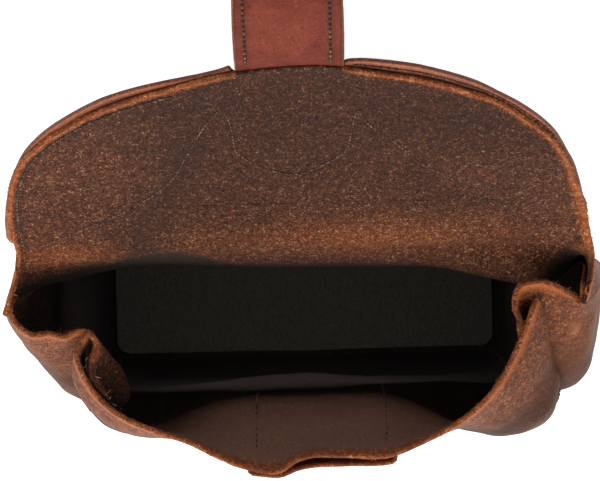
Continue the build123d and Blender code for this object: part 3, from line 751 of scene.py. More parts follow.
RIGHT_GUSSET = {z: [(-x, y) for x, y in LEFT_GUSSET[z]] for z in MIRRORED} | levels("""
    250: 95.5,26.9 100.8,26 103.3,21 103.1,14 102.2,8 101.6,1 101.4,-5 101.8,-11 102.2,-17 101.9,-22.4
    99.6,-25.8 95,-27
    340: 98,26.6 104,25.4 108.2,19 110.4,11 111,3 110.4,-5 109,-12 106.6,-18.5 103.6,-23 101,-25.6 98.6,-27
    94.5,-27.8
    370: 112,25.2 121.6,22.6 122.8,16 123,8 122.6,-1 121,-10 118.2,-19 113,-26.4 106.5,-28.6 101.5,-27.4
    99.4,-29.4 97,-33
    395: 114.4,24.6 121.8,19.6 122.4,13 122,6 121,-1 119,-9 115.6,-17 109.6,-20.6 103.4,-19.4 99.6,-18.4
    98.4,-22 96.4,-28.6
    410: 115.4,23.5 120.6,17 119.8,11.6 118.4,5.6 116.6,0 114,-4.8 109.4,-8.4 103.6,-9.4 99,-8.4 96.2,-8.8
    96.4,-13 94.6,-20.4
    425: 114.8,21.4 117.6,13.4 115.4,9.6 112,6.2 108,4.6 103.4,3.8 98.6,3.4 93.2,4.4 89.8,3 89.4,-1.6
    91.6,-6.2 89,-13.4
    440: 112.4,16.4 111.6,9.4 109.8,11.4 106.4,13.8 102,16.2 97.4,17.6 92.6,17.8 87.6,16.4 85.2,11.6 85.2,7
    86.8,3 86.9,-1.2
""")
BACK = levels("""
    2.6: -97,27.2 -95.5,27.9 -93,28 -88,28 -80,28 -70,28 -50,28 -26,28 0,28
    24: -100,27.4 -98.4,28 -96,28.1 -90,28.1 -80,28.1 -70,28.1 -50,28.1 -26,28.1 0,28.1
    120: -100.6,27.6 -99,28.2 -96,28.6 -90,29.2 -81,30 -70,30.6 -50,31.2 -26,31.6 0,31.8
    250: -101,27.8 -99.4,28.2 -96.5,28.3 -91,28.3 -82,28.3 -71,28.3 -51,28.4 -26,28.5 0,28.6
    340: -103.8,26.8 -101.8,27.6 -98.5,28 -92,28.1 -83,28 -72,28 -52,28 -27,28.2 0,28.2
    370: -116.8,9 -115.6,15.4 -111,21.6 -101,27 -86,28.1 -72,28.1 -52,28.2 -27,28.3 0,28.3
    385: -117.2,8.4 -116,14.8 -111.6,20.6 -102,25.6 -88,27.6 -75,28 -53,28 -27,28 0,28
    396: -117.4,8 -115.6,13.6 -110.8,18.2 -102.4,21.2 -91,23.4 -78,25.8 -54,27.6 -27,27 0,26.4
    410: -117.4,9 -115.6,14.6 -111.2,19 -104,22 -93,24.4 -79,27 -54,29 -27,28 0,27.4
    425: -116.6,10.2 -115.2,16 -112.2,21.6 -106,25.6 -95,27.8 -80,29.8 -55,31 -28,30.8 0,30.6
""")
BACK_RIGHT_X = {340: 1.01, 370: 1.03}     # how much wider the right half is at some heights
BACK_RIGHT_ENDS = levels("""
    340: 105,26.8 102.6,27.6 99,28
    370: 122,23.8 117,26.6 108.6,27.8
    385: 122.4,22 118,26 110.8,27 103,25.4 90.6,25.8 77,27.4 54,27.8 27,27.8
    396: 122,20 118.4,24.8 112,25 104.6,19.6 93,17.4 78,21.6 54,25.6 27,26
    410: 120.6,18 118,24.8 113.4,26.6 106.4,20.4 95,16.8 79.6,19.8 55,25.6 27.5,27
    425: 118.8,14.4 117.6,22.6 114.4,28.8 107.6,25.6 96,21.8 80,24.4 55,28.6 28,30.2
""")
# Rows of the back panel from the rim's level up, where the cut edge runs from the corner up the flap's side
MOUTH_ROWS = (
    (listed("""
        -115.4,11.6,440 -113.2,18,439 -111.2,25,438.2 -107.6,30.4,437.6 -97,31.8,437.2 -81,32.2,437 -56,33,437
        -28,33.6,437 0,33.9,437
    """), listed("""
        112.8,9.6,440 115.4,17.5,439 115.6,27,438.2 109,31.6,437.6 98,33,437.2 82,33.6,437 56,34,437 28,34,437
    """)),
    (listed("""
        -111.8,20.5,440.8 -111,25.2,441 -109.6,30,441.8 -106,33.3,442.6 -97,34,443 -81,34.3,443.2
        -56,34.7,443.4 -28,35,443.4 0,35.2,443.4
    """), listed("""
        114.9,16.8,440.5 116,22.4,440.8 115.6,29.5,441.8 108,33.7,442.6 98,34.4,443 82,34.8,443.2 56,35,443.4
        28,35.2,443.4
    """)),
    (listed("""
        -110,30.6,443.6 -109.6,33,445 -108.4,35.4,446.8 -103.5,36.8,448.6 -96,37.2,449.4 -81,37.4,450
        -56,37.6,450.2 -28,37.7,450.2 0,37.8,450.2
    """), listed("""
        116.4,26.6,443 115.6,31,444.6 113,35,446.8 106,36.8,448.6 97,37.3,449.4 82,37.5,450 56,37.7,450.2
        28,37.8,450.2
    """)),
)
FLAP_ROW_X = (1, 0.985, 0.955, 0.91, 0.85, 0.72, 0.5, 0.25, 0)


def wall_levels(table):
    """Control points of a wall as an array, level by level."""
    return np.array([[(x, y, min(z, RIM_Z)) for x, y in line] for z, line in sorted(table.items())], float)


def wall(table, seed):
    """A dense grid over a wall, with the slight waves that hide has."""
    control = wall_levels(table)
    across = np.maximum(2, steps(control.mean(0), WALL_SPACING))
    heights = control[:, 0, 2]
    up = np.where(heights[:-1] >= FLARE_Z, 10, np.maximum(4, np.diff(heights) / 9)).astype(int)
    lines = np.array([smooth_line(line, across) for line in control])
    grid = smooth_line(lines, up)
    normal = grid_normals(grid)
    z = grid[..., 2]
    fade = np.clip((z - 4) / 60, 0, 1) * np.clip((RIM_Z + 25 - z) / 60, 0, 1)
    wave = 0.9 * wobble(grid * (1, 1, 0.7), 95, seed, 2) + 0.22 * wobble(grid, 22, seed + 1, 2)
    grid = grid + normal * (wave * fade)[..., None]
    rise = 0.8 * wobble(grid[-1], 60, seed + 2, 2) + 0.25 * wobble(grid[-1], 7, seed + 3, 2) - 1.0
    grid[..., 2] += np.clip((z - 400) / 40, 0, 1) * rise[None, :]
    return grid


def wall_marks(grid, dim=0.0, start=14, reach=62):
    """How near the raw rim each point is, how much painted shade it gets deep in the bag and how brushed it is.
    """
    z = grid[..., 2]
    below = grid[-1][None, :, 2] - z
    return {
        "rim": np.exp(-((below / 3.2) ** 1.2)),
        "deep": np.maximum(0.85 * np.clip((below - start) / reach, 0, 1), dim),
        "rough": np.clip(1.25 - below / 34, 0, 1),
    }


# --- Build the walls -----------------------------------------------------------------------------
front_grid = wall(FRONT, 21)
snap_low, snap_high = (np.array(v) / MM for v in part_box("front_magnet"))
from_snap = (front_grid - (snap_low + snap_high) / 2)[..., [0, 2]]
SNAP_DENT, DENT_RADIUS = 2.7, 26     # how far the snap has pressed the front wall in
front_grid[..., 1] += SNAP_DENT * np.exp(-(from_snap**2).sum(-1) / DENT_RADIUS**2)
left_grid = wall(LEFT_GUSSET, 31)
right_grid = wall(RIGHT_GUSSET, 41)[:, ::-1]


def flange_shade(grid, table, first, strength):
    """Shade on the part of a side fold that lies past one of its control points, in near the front."""
    control = wall_levels(table)
    start = np.maximum(2, steps(control.mean(0), WALL_SPACING))[:first].sum()
    return strength * np.clip((np.arange(grid.shape[1]) - start) / 5, 0, 1)[None, :]


def crease_mark(grid, line, width):
    """A raised crease along a line of points, faded out beyond its ends. It also sets where a painted highlight
    goes.
    """
    best = np.full(grid.shape[:2], 1e9)
    for point in evenly(dense(line), 1.0):
        best = np.minimum(best, ((grid - point) ** 2).sum(-1))
    return np.exp(-best / width**2)


RIGHT_CREASE = listed("""
    114.6,7.4,432 112.6,2.2,424 109.8,-1.8,416 105.8,-4.6,412 101.6,-6.8,410
""")
left_dim = flange_shade(left_grid, LEFT_GUSSET, 8, 0.85)
right_dim = flange_shade(right_grid[:, ::-1], RIGHT_GUSSET, 8, 0.5)[:, ::-1]
right_crease = crease_mark(right_grid, RIGHT_CREASE, 2.2)
right_grid = right_grid + grid_normals(right_grid) * (0.9 * right_crease)[..., None]
# Painted shade in the deep marks: each wall darkens lower in the bag, and the side folds also on their parts
# near the front.
front_marks = wall_marks(front_grid, 0.05, 46, 22)
front_below = front_grid[-1][None, :, 2] - front_grid[..., 2]
# Painted light: a paler band on the front wall's inside, from just below its rim to about 50 mm down.
front_marks["painted_light"] = 0.78 * np.clip(1 - (front_below - 36) / 18, 0, 1) * np.clip(front_below / 4, 0, 1)
left_marks = wall_marks(left_grid, left_dim)
right_marks = wall_marks(right_grid, right_dim)
# Painted highlight along the crease.
right_marks["crease_highlight"] = right_crease
for name, node, grid, marks, seed in (
    ("front_wall", "front_panel", front_grid, front_marks, 51),
    ("left_side_fold", "left_gusset", left_grid, left_marks, 52),
    ("right_side_fold", "right_gusset", right_grid, right_marks, 53),
):
    on_bag(sheet(name, grid, HIDE, BODY_MATERIALS, marks, jag=0.2, seed=seed, swell=0.55), "hide", node)


def flipped(marks):
    """The same marks for a grid with its columns reversed."""
    return {key: values[:, ::-1] for key, values in marks.items()}


def back_control():
    """Control rows of the back panel and the lower part of the flap."""
    rows = []
    for z, half in sorted(BACK.items()):
        left = [(x, y, z) for x, y in half]
        right = [(-x * BACK_RIGHT_X.get(z, 1.0), y, z) for x, y in half[:-1]]
        for i, (x, y) in enumerate(BACK_RIGHT_ENDS.get(z, ())):
            right[i] = (x, y, z)
        rows.append([*left, *right[::-1]])
    for left, right in MOUTH_ROWS:
        rows.append([*left, *right[::-1]])
    for t, low, high in (
        (19, -110.4, 113.8), (32, -110.4, 111.8), (CUT_T, HIDE_EDGE[0][0], HIDE_EDGE[-1][0]),
    ):
        xs = [low * f for f in FLAP_ROW_X] + [high * f for f in FLAP_ROW_X[-2::-1]]
        line = flap_point(np.array(xs), np.full(len(xs), float(t)), FLAP_HIDE / 2)
        if t < 25:
            for end in (0, -1):
                line[end] += (0, -1.2, -3)
        rows.append(line.tolist())
    return np.array(rows, float)


def back_grid_points():
    """A dense grid over the back panel and the lower part of the flap."""
    control = back_control()
    across = np.maximum(2, steps(control[-1], 2.0))
    lines = np.array([smooth_line(line, across) for line in control])
    heights = control[:, 8, 2]
    up = np.where(heights[:-1] >= FLARE_Z, 7, np.maximum(4, np.diff(heights) / 9)).astype(int)
    grid = smooth_line(lines, up)
    grid[-1] = flap_point(grid[-1, :, 0], np.full(grid.shape[1], CUT_T), FLAP_HIDE / 2)
    normal = grid_normals(grid)
    z = grid[..., 2]
    fade = np.clip((z - 4) / 60, 0, 1) * np.clip((RIM_Z - 20 - z) / 60, 0, 1)
    keep_flat = 1 - np.clip(1 - np.abs(z - 365) / 45, 0, 1)
    grid = grid + normal * (0.9 * wobble(grid, 95, 61, 2) * fade * keep_flat)[..., None]
    return grid


back_grid = back_grid_points()
z = back_grid[..., 2]
start_row = int(np.argmax(z[:, z.shape[1] // 2] > RIM_Z - 5))
edge_distance = np.minimum(
    np.abs(back_grid[..., 0] - back_grid[:, :1, 0]), np.abs(back_grid[:, -1:, 0] - back_grid[..., 0])
)
above = np.zeros_like(z)
above[start_row:] = 1


def edge_rim(x, t, distance):
    """How worn the hide is near the flap's edge, widest low on the right."""
    low = np.clip((75 - t) / 50, 0, 1)
    width = np.where(x > 0, 1.6 + 2.0 * low, 1.6 - 0.7 * low)
    return np.exp(-((distance / width) ** 1.3))


# Where the shade of the mouth ends on the back, t at each x, and the line of the hollow on the left
SHADE_X = (-120, -82, -72, -63, -55, -46, -38, -28, 95, 103, 107, 114)
SHADE_T = (-24, -20, -14, -1, 4, 2, -8, -24, -30, -9, 0, 4)
HOLLOW = ((-36, 100), (-41, 84), (-48, 64), (-56, 42), (-60, 20), (-61, -4))


def hollow_and_mouth_shade(x, t):
    """Painted shade: the dark hollow beside the overlay's left wing, and where the shade of the mouth climbs the
    back.
    """
    left = 0.75 * near_line(x, t, dense(HOLLOW, 5), 9)
    return np.maximum(left, 0.95 * np.clip((np.interp(x, SHADE_X, SHADE_T) - t) / 8, 0, 1))


def upper_flap_shade(x, t):
    """Painted shade: where the suede is darker, high on the flap."""
    across = np.interp(x, (-110, -70, -40, 55, 110), (0.1, 0.15, 1, 0.95, 0.65))
    return 0.64 * across * np.clip((t - 18) / 90, 0, 1) ** 0.8


def warmth(x, t):
    """Where the suede is worn to a warmer brown."""
    low = np.exp(-(((t - 9) / 16) ** 2)) * np.exp(-(((x - 30) / 45) ** 2))
    left = np.exp(-(((t + 2) / 12) ** 2)) * np.exp(-(((x + 92) / 18) ** 2))
    return 0.5 * low + 0.6 * left


back_t = (back_grid - FOLD) @ ALONG
hollow = hollow_and_mouth_shade(back_grid[..., 0], back_t)
back_marks = {
    "rim": edge_rim(back_grid[..., 0], back_t, edge_distance) * above,
    # Painted shade: the back darkens below the mouth, in the hollow beside the overlay's left wing and a little
    # high on the flap.
    "deep": np.maximum.reduce([
        np.clip((416 - z) / 26, 0, 1) ** 0.8, hollow, 0.15 * upper_flap_shade(back_grid[..., 0], back_t) * above]),
    "rough": np.clip(1.2 - np.abs(z - RIM_Z - 5) / 30, 0, 1) * np.clip(1.2 - edge_distance / 60, 0, 1),
    "worn": warmth(back_grid[..., 0], back_t),
}

# --- The flap's upper hide -----------------------------------------------------------------------
FLAP_ROWS = 64
SIDE_SHARE = 0.2         # the share of the hide's edge that each side of the upper piece takes


def flap_patch():
    """(x, t) over the hide above the cut: its edge makes the patch's two sides and its top."""
    cut_x = back_grid[-1, :, 0]
    edge = dense(HIDE_EDGE, 12)
    u = ((cut_x - cut_x[0]) / (cut_x[-1] - cut_x[0]))[None, :, None]
    v = np.linspace(0, 1, FLAP_ROWS + 1)[:, None, None]
    low = np.stack([cut_x, np.full_like(cut_x, CUT_T)], 1)[None]
    left = at_shares(edge, SIDE_SHARE * v[:, 0, 0])[:, None]
    right = at_shares(edge, 1 - SIDE_SHARE * v[:, 0, 0])[:, None]
    high = at_shares(edge, SIDE_SHARE + (1 - 2 * SIDE_SHARE) * u[0, :, 0])[None]
    corners = ((1 - u) * (1 - v) * low[:, :1] + u * (1 - v) * low[:, -1:]
               + (1 - u) * v * high[:, :1] + u * v * high[:, -1:])
    return (1 - v) * low + v * high + (1 - u) * left + u * right - corners


flap_xt = flap_patch()
flap_x, flap_t = flap_xt[..., 0], flap_xt[..., 1]
path = dense([*LEFT_WING, *TONGUE, *RIGHT_WING], 8)
flap_grid = flap_point(flap_x, flap_t, FLAP_HIDE / 2)
flap_grid[0] = back_grid[-1]
edge_gap = distance_to(flap_x, flap_t, evenly(dense(HIDE_EDGE, 12), 0.7))
LEFT_MARGIN = listed("""
    -107.2,10 -107.4,24 -107,38 -106.2,52 -104.4,66 -101.6,79 -97.6,91 -92.6,101.5 -87,111 -80.5,120
    -73.5,128.2 -64,137 -53,145 -42.4,151
""")
margin = dense(LEFT_MARGIN)


def flap_grooves(x, t):
    """The grooves that the stitching has pulled into the flap; the same marks give painted shade in them."""
    return np.maximum(near_line(x, t, path, 1.3) * 0.8, near_line(x, t, margin, 1.5))


# The stitch grooves dent the flap a little and are also darkened with painted shade.
groove = flap_grooves(flap_x, flap_t)
flap_grid = flap_grid - INWARD * (groove * 0.35)[..., None]
flap_marks = {
    "rim": edge_rim(flap_x, flap_t, edge_gap) * np.where(np.abs(flap_x) < 19.5, 0, 1),
    # Painted shade: the hollow beside the overlay's left wing, the mouth's shade, a little high on the flap and
    # a band along the edge under the strap's end.
    "deep": np.maximum.reduce([
        hollow_and_mouth_shade(flap_x, flap_t), 0.15 * upper_flap_shade(flap_x, flap_t),
        0.5 * np.exp(-(edge_gap / 5) ** 2) * (np.abs(flap_x) < 24),
    ]),
    "worn": warmth(flap_x, flap_t),
    # Painted shade in the stitch grooves, and high on the flap away from its edge.
    "groove": np.maximum(groove, upper_flap_shade(flap_x, flap_t) * (1 - np.exp(-(edge_gap / 3) ** 2))),
}
# Painted shade in the stitch grooves and high on the flap, on the back piece above the rim.
back_marks["groove"] = np.maximum(flap_grooves(back_grid[..., 0], back_t) * (back_t > 3),
                                  upper_flap_shade(back_grid[..., 0], back_t)) * above
both_normals = grid_normals(np.concatenate([back_grid, flap_grid[1:]]))
back_normals, flap_normals = both_normals[: len(back_grid)], both_normals[len(back_grid) - 1:]


def across_fold(piece):
    """Bakes a piece's transform into its mesh; used for pieces on either side of the fold line between the back
    panel and the flap.
    """
    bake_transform(piece)


def across_bend(piece):
    """Bakes a piece's transform into its mesh; used for pieces on the flap at its second fold line."""
    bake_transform(piece)


back_wall = sheet("back_wall", back_grid[:, ::-1], HIDE, BODY_MATERIALS, flipped(back_marks), "t",
                  jag=0.2, seed=54, swell=0.55, normal=-back_normals[:, ::-1])
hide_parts("back_panel")
across_fold(back_wall)

flap_upper = sheet("flap_hide_upper", flap_grid[:, ::-1], FLAP_HIDE, BODY_MATERIALS, flipped(flap_marks), "b",
                   jag=0.16, seed=55, normal=-flap_normals[:, ::-1])
for face in flap_upper.data.polygons:     # the cut edge under the strap is suede
    if face.material_index == 2 and abs(face.center.x) < 0.0192 and face.center.z > 0.56:
        face.material_index = 1
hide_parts("flap_hide_top", "flap_hide_front")
across_bend(flap_upper)

# --- The flap's overlay --------------------------------------------------------------------------
OVERLAY_ROWS = 34
OUTER_LINE = dense(OVERLAY_EDGE)


def part_of(line, keep):
    """The points of a line where keep holds, which is one stretch."""
    return line[np.flatnonzero(keep(line))]


def overlay_upper():
    """The overlay above the cut, from its inner edge out to the flap's edge, in three stretches."""
    left = part_of(dense(LEFT_INNER), lambda p: p[:, 1] >= CUT_T)
    right = part_of(dense(RIGHT_INNER), lambda p: p[:, 1] >= CUT_T)
    left[0] = (np.interp(CUT_T, *dense(LEFT_INNER).T[::-1]), CUT_T)
    right[-1] = (np.interp(-CUT_T, -dense(RIGHT_INNER)[:, 1], dense(RIGHT_INNER)[:, 0]), CUT_T)
    inner = [left, dense(TONGUE_EDGE), right]
    outer = [
        part_of(OUTER_LINE, lambda p: p[:, 0] <= -OVERLAY_SPLIT),
        part_of(OUTER_LINE, lambda p: np.abs(p[:, 0]) < OVERLAY_SPLIT + 1.5),
        part_of(OUTER_LINE, lambda p: p[:, 0] >= OVERLAY_SPLIT),
    ]
    outer[1][0], outer[1][-1] = outer[0][-1], outer[2][0]
    low, high = [], []
    for i, (a, b, count) in enumerate(zip(inner, outer, (64, 76, 64))):
        s = np.linspace(0, 1, count + 1)[0 if i == 0 else 1:]
        low.append(at_shares(a, s))
        high.append(at_shares(b, s))
    low, high = np.concatenate(low), np.concatenate(high)
    share = np.linspace(0, 1, OVERLAY_ROWS + 1)[:, None, None]
    return low[None] * (1 - share) + high[None] * share


def overlay_wing(inner, outer):
    """One wing of the overlay below the cut, as (x, t): rows up the flap, columns out to its edge."""
    ts = np.linspace(5, CUT_T, 22)
    share = np.linspace(0, 1, OVERLAY_ROWS + 1)
    low = np.interp(ts, inner[:, 1], inner[:, 0])
    high = np.interp(ts, outer[:, 1], outer[:, 0])
    x = low[:, None] * (1 - share) + high[:, None] * share
    return np.stack([x, np.broadcast_to(ts[:, None], x.shape)], -1)


def overlay_piece(name, xt, nodes, open_side, flip, seed):
    """A part of the overlay on the flap's outside, worn along its edges and grooved by its stitching, with
    painted shade in the grooves.
    """
    edges = np.concatenate([
        evenly(OUTER_LINE, 1.5), evenly(left_outer, 1.5), evenly(right_outer, 1.5), dense(LEFT_INNER, 4),
        dense(TONGUE_EDGE, 4), dense(RIGHT_INNER, 4),
    ])
    rows = np.concatenate([path, margin, CHANNEL])[::2]
    # The groove mark is painted shade along the stitch rows.
    marks = {"rim": near_line(xt[..., 0], xt[..., 1], edges, 3.2),
             "groove": 0.8 * near_line(xt[..., 0], xt[..., 1], rows, 1.3)}
    grid = flap_point(xt[..., 0], xt[..., 1], OVERLAY_DEPTH)
    if flip:
        grid, marks = grid[:, ::-1], flipped(marks)
    piece = sheet(name, grid, OVERLAY, OVERLAY_MATERIALS, marks, open_side, jag=0.05, seed=seed, swell=0.42)
    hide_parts(*nodes)
    return piece


def channel_row():
    """The stitch row on the right, in the channel between the hide's edge and the overlay's, as (x, t)."""
    hide = part_of(dense(HIDE_EDGE), lambda p: p[:, 0] > 22)
    over = part_of(OUTER_LINE, lambda p: p[:, 0] > 22)
    shares = np.linspace(0, 1, 120)
    return at_shares(hide, shares) * 0.5 + at_shares(over, shares) * 0.5


CHANNEL = channel_row()
left_outer = np.array([(-109.4, 5), (-112.2, 8.5), (-113.1, 12.5), (-112.4, 28), (-110.6, CUT_T)])
right_outer = np.array([(109.6, 5), (111, 12), (111, 26), (110.4, 36), (109.8, CUT_T)])
upper_xt = overlay_upper()
left_xt = overlay_wing(dense(LEFT_INNER), left_outer)
right_xt = overlay_wing(dense(RIGHT_INNER)[::-1], right_outer)
overlay_nodes = ["flap_overlay_top", "flap_overlay_front"]
across_bend(overlay_piece("flap_overlay_upper", upper_xt, overlay_nodes, "lr", True, 71))
for name, xt, flip, seed in (
    ("flap_overlay_left", left_xt, False, 72), ("flap_overlay_right", right_xt, True, 73),
):
    across_fold(overlay_piece(name, xt, ["flap_overlay_top"], "t", flip, seed))


# --- Stitching on the flap -----------------------------------------------------------------------
def flap_rows(lines, depth, outside, low, high):
    """Rows for stitches() from (x, t) lines, kept between two distances along the flap."""
    rows = []
    for line in lines:
        line = evenly(np.asarray(line, float), 1.0)
        inside = (line[:, 1] >= low) & (line[:, 1] < high)
        runs = np.split(np.arange(len(line)), np.flatnonzero(np.diff(inside.astype(int))) + 1)
        for run in runs:
            if inside[run[0]] and len(run) > 5:
                xt = line[run]
                points = flap_point(xt[:, 0], xt[:, 1], depth)
                rows.append((points, np.broadcast_to(-INWARD if outside else INWARD, points.shape)))
    return rows


def flap_stitching(name, lines, depth, outside, nodes, pitch, radius, seed):
    """One stitch row on the flap as two pieces, below and above the cut."""
    for part, low, high, bend in (("lower", 4, CUT_T, across_fold), ("upper", CUT_T, 200, across_bend)):
        rows = flap_rows(lines, depth, outside, low, high)
        if not rows:
            continue
        piece = stitches(f"{name}_{part}", rows, pitch, radius, seed=seed, hole=0.5)
        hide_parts(*nodes)
        bend(piece)


OVER_NODES = ("overlay_stitching_top", "overlay_stitching_front")
EDGE_NODES = ("flap_edge_stitching_top", "flap_edge_stitching_front")
OVER_OUT = OVERLAY_DEPTH + OVERLAY / 2
flap_stitching("overlay_stitches", [path], 0.15, False, OVER_NODES, 3.1, 0.3, 81)
flap_stitching("overlay_stitches_outside", [path], OVER_OUT, True, OVER_NODES, 3.3, 0.42, 82)
flap_stitching("edge_stitches", [margin], 0.2, False, EDGE_NODES, 3.0, 0.36, 83)
flap_stitching("channel_stitches", [CHANNEL], OVERLAY_DEPTH - OVERLAY / 2, False, EDGE_NODES, 3.0, 0.36, 85)
flap_stitching("edge_stitches_outside", [margin, CHANNEL], OVER_OUT, True, EDGE_NODES, 3.3, 0.42, 84)


# --- Loose fibres along the raw edges ------------------------------------------------------------
def fuzz(name, line, outward, count, length, seed, spread=0.8, material=None):
    """Fibres along one raw edge."""
    away = np.broadcast_to(np.asarray(outward, float), np.shape(line)) * 0.45
    piece = fibres(name, np.asarray(line, float), away, count, length, material or FLUFF, spread, seed)
    return piece


# The flap's edge below the ends of HIDE_EDGE
EDGE_LOW_LEFT, EDGE_LOW_RIGHT = [(-110.6, 14), (-110.4, 30)], [(111.8, 32), (113.8, 19)]


def edge_fuzz(name, low, high, bend, count, seed):
    """Fibres along the flap's edge between two distances up the flap."""
    edge = evenly(np.concatenate([EDGE_LOW_LEFT, dense(HIDE_EDGE, 12), EDGE_LOW_RIGHT]), 1.0)
    edge = edge[np.abs(edge[:, 0]) > 21]
    for side in (-1, 1):
        part = edge[(edge[:, 1] >= low) & (edge[:, 1] < high) & (edge[:, 0] * side > 0)]
        way = np.gradient(part, axis=0)
        way /= np.linalg.norm(way, axis=1, keepdims=True)
        out = way[:, 1:] * (-1.0, 0, 0) + way[:, :1] * ALONG + INWARD * 0.6
        points = flap_point(part[:, 0], part[:, 1], 0.6)
        bend(fuzz(f"{name}_{'left' if side < 0 else 'right'}", points, out, count, 1.5, seed + side))


edge_fuzz("edge_fuzz_upper", CUT_T, 200, across_bend, 620, 302)
edge_fuzz("edge_fuzz_lower", 14, CUT_T, across_fold, 260, 305)
for name, grid, count, seed in (("front_fuzz", front_grid, 1500, 311), ("left_fuzz", left_grid, 800, 312),
                                ("right_fuzz", right_grid, 800, 313)):
    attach(fuzz(name, grid[-1] + (0, 0, 0.2), (0, 0, 0.3), count, 1.5, seed), "bag")
for name, column, count in (("corner_fuzz_left", 0, 90), ("corner_fuzz_right", -1, 160)):
    rows = [i for i in range(start_row, len(back_grid)) if back_t[i, column] < 14]
    side = -1 if column == 0 else 1
    across_fold(fuzz(name, back_grid[rows, column], (side, -0.6, 0.5), count, 1.8, 320 + side))
loose = np.array(listed("-92.6,1.2,438.6 -91,1.4,438.6 -81.5,-17,437.6 -77,-23.6,438 -66,-33,438"))
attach(fuzz("loose_fibres", loose, (0.1, 0.5, 1), 8, 4.6, 331, 0.5, PALE_FLUFF), "bag")


# --- The closure strap ---------------------------------------------------------------------------
strap_low, strap_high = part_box("strap_outer")[0].x / MM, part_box("strap_outer")[1].x / MM
STRAP_X, STRAP_HALF = (strap_low + strap_high) / 2, (strap_high - strap_low) / 2
STRAP_START = 95.0       # where it is sewn on, along the flap
TAIL = 116.0             # its length past the flap's tip
TIP_R = 23.0             # the radius of its rounded tip


def strap_spine():
    """Where the strap's two layers meet, seen from the side: (y, z) points from its sewn end to its tip."""
    line = []
    for t, depth in ((STRAP_START, 3.7), (120, 3.7), (145, 3.7), (160, 3.6), (168, 3.3), (175, 2.7)):
        line.append(flap_point(STRAP_X, t, depth)[1:])
    place = PIVOT[1:].copy()
    line.append(place.copy())
    for q in range(8, int(TAIL) + 8, 9):
        lean = radians(32 + 20 * min(q / TAIL, 1))
        place = place + 9 * np.array((sin(lean), cos(lean)))
        line.append(place.copy())
    return evenly(dense(np.array(line), 8), 1.5)


SPINE = strap_spine()
SPINE_LENGTH = lengths(SPINE)[-1]


def strap_point(x, q, off):
    """A point of the strap: x across, q along from the sewn end, off behind where the layers meet."""
    x, q = np.broadcast_arrays(np.asarray(x, float), np.asarray(q, float))
    s = q / SPINE_LENGTH
    yz = at_shares(SPINE, s.reshape(-1)).reshape(*q.shape, 2)
    ahead = at_shares(SPINE, np.minimum(s + 0.004, 1).reshape(-1)).reshape(*q.shape, 2)
    behind = at_shares(SPINE, np.maximum(s - 0.004, 0).reshape(-1)).reshape(*q.shape, 2)
    way = ahead - behind
    way /= np.linalg.norm(way, axis=-1, keepdims=True)
    cup = np.clip((q - 80) / 40, 0, 1) * (0.5 * ((x - STRAP_X) / STRAP_HALF) ** 2 + 0.35 * np.sin(q / 17))
    back = off + cup
    return np.stack([x, yz[..., 0] + way[..., 1] * back, yz[..., 1] - way[..., 0] * back], -1)


def strap_sheet(name, start, off, round_start, seed):
    """One layer of the strap, from start mm along it to the rounded tip."""
    across = np.linspace(-1, 1, 27)
    along = np.linspace(start, SPINE_LENGTH, int((SPINE_LENGTH - start) / 2))
    u, q = np.meshgrid(across, along)
    wave = 0.35 * np.sin(q / 13 + 1) * np.clip((q - 90) / 30, 0, 1)
    x = STRAP_X + u * (STRAP_HALF + wave - 0.1)
    drop = TIP_R - np.sqrt(TIP_R**2 - (u * STRAP_HALF) ** 2)
    q = q - drop * np.clip((q - SPINE_LENGTH + 30) / 30, 0, 1)
    if round_start:
        curve = STRAP_HALF * (1 - np.sqrt(np.maximum(1.02 - u**2, 0)))
        q = q + curve * np.clip((start + 40 - q) / 40, 0, 1)
    grid = strap_point(x, q, off)
    side = (1 - np.abs(u)) * STRAP_HALF
    # The groove mark is painted shade along the strap's stitch rows.
    marks = {"rim": np.exp(-((side / 1.3) ** 1.5)), "groove": np.exp(-(((side - 3.6) / 1.1) ** 2)) * 0.6}
    piece = sheet(name, grid, STRAP_LAYER, STRAP_MATERIALS, marks, jag=0.03, seed=seed, swell=0.4)
    return piece


def across_pivot(piece):
    """Bakes a piece's transform into its mesh; used for the strap's pieces, where the strap leaves the flap."""
    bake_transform(piece)


def near_q(t):
    """Distance along the strap of a place on the flap."""
    return t - STRAP_START


strap_band = strap_sheet("strap_band", 0.3, STRAP_LAYER / 2 + 0.05, True, 91)
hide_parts("strap_base", "strap_outer")
strap_facing = strap_sheet("strap_facing", near_q(168), -STRAP_LAYER / 2 - 0.05, False, 92)
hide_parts("strap_lining")


def strap_row(x, start, end, off, way):
    """A stitch row along the strap, on the face at off; way is 1 for the outer face."""
    q = np.arange(start, end, 1.0)
    points = strap_point(np.full_like(q, x), q, off)
    raised = strap_point(np.full_like(q, x), q, off + way)
    return points, raised - points


def u_row():
    """The row that sews the strap's base down: along one side, round the end and up the other."""
    r = STRAP_HALF - 3.6
    angle = np.linspace(0, pi, 40)
    xs = np.concatenate([[r] * 50, r * np.cos(angle), [-r] * 50]) + STRAP_X
    qs = np.concatenate([np.linspace(78, r + 4, 50), r + 4 - r * np.sin(angle), np.linspace(r + 4, 78, 50)])
    line = evenly(np.stack([xs, qs], 1), 1.0)
    points = strap_point(line[:, 0], line[:, 1], 2 * 0.95 + 0.1)
    raised = strap_point(line[:, 0], line[:, 1], 3.0)
    return points, raised - points


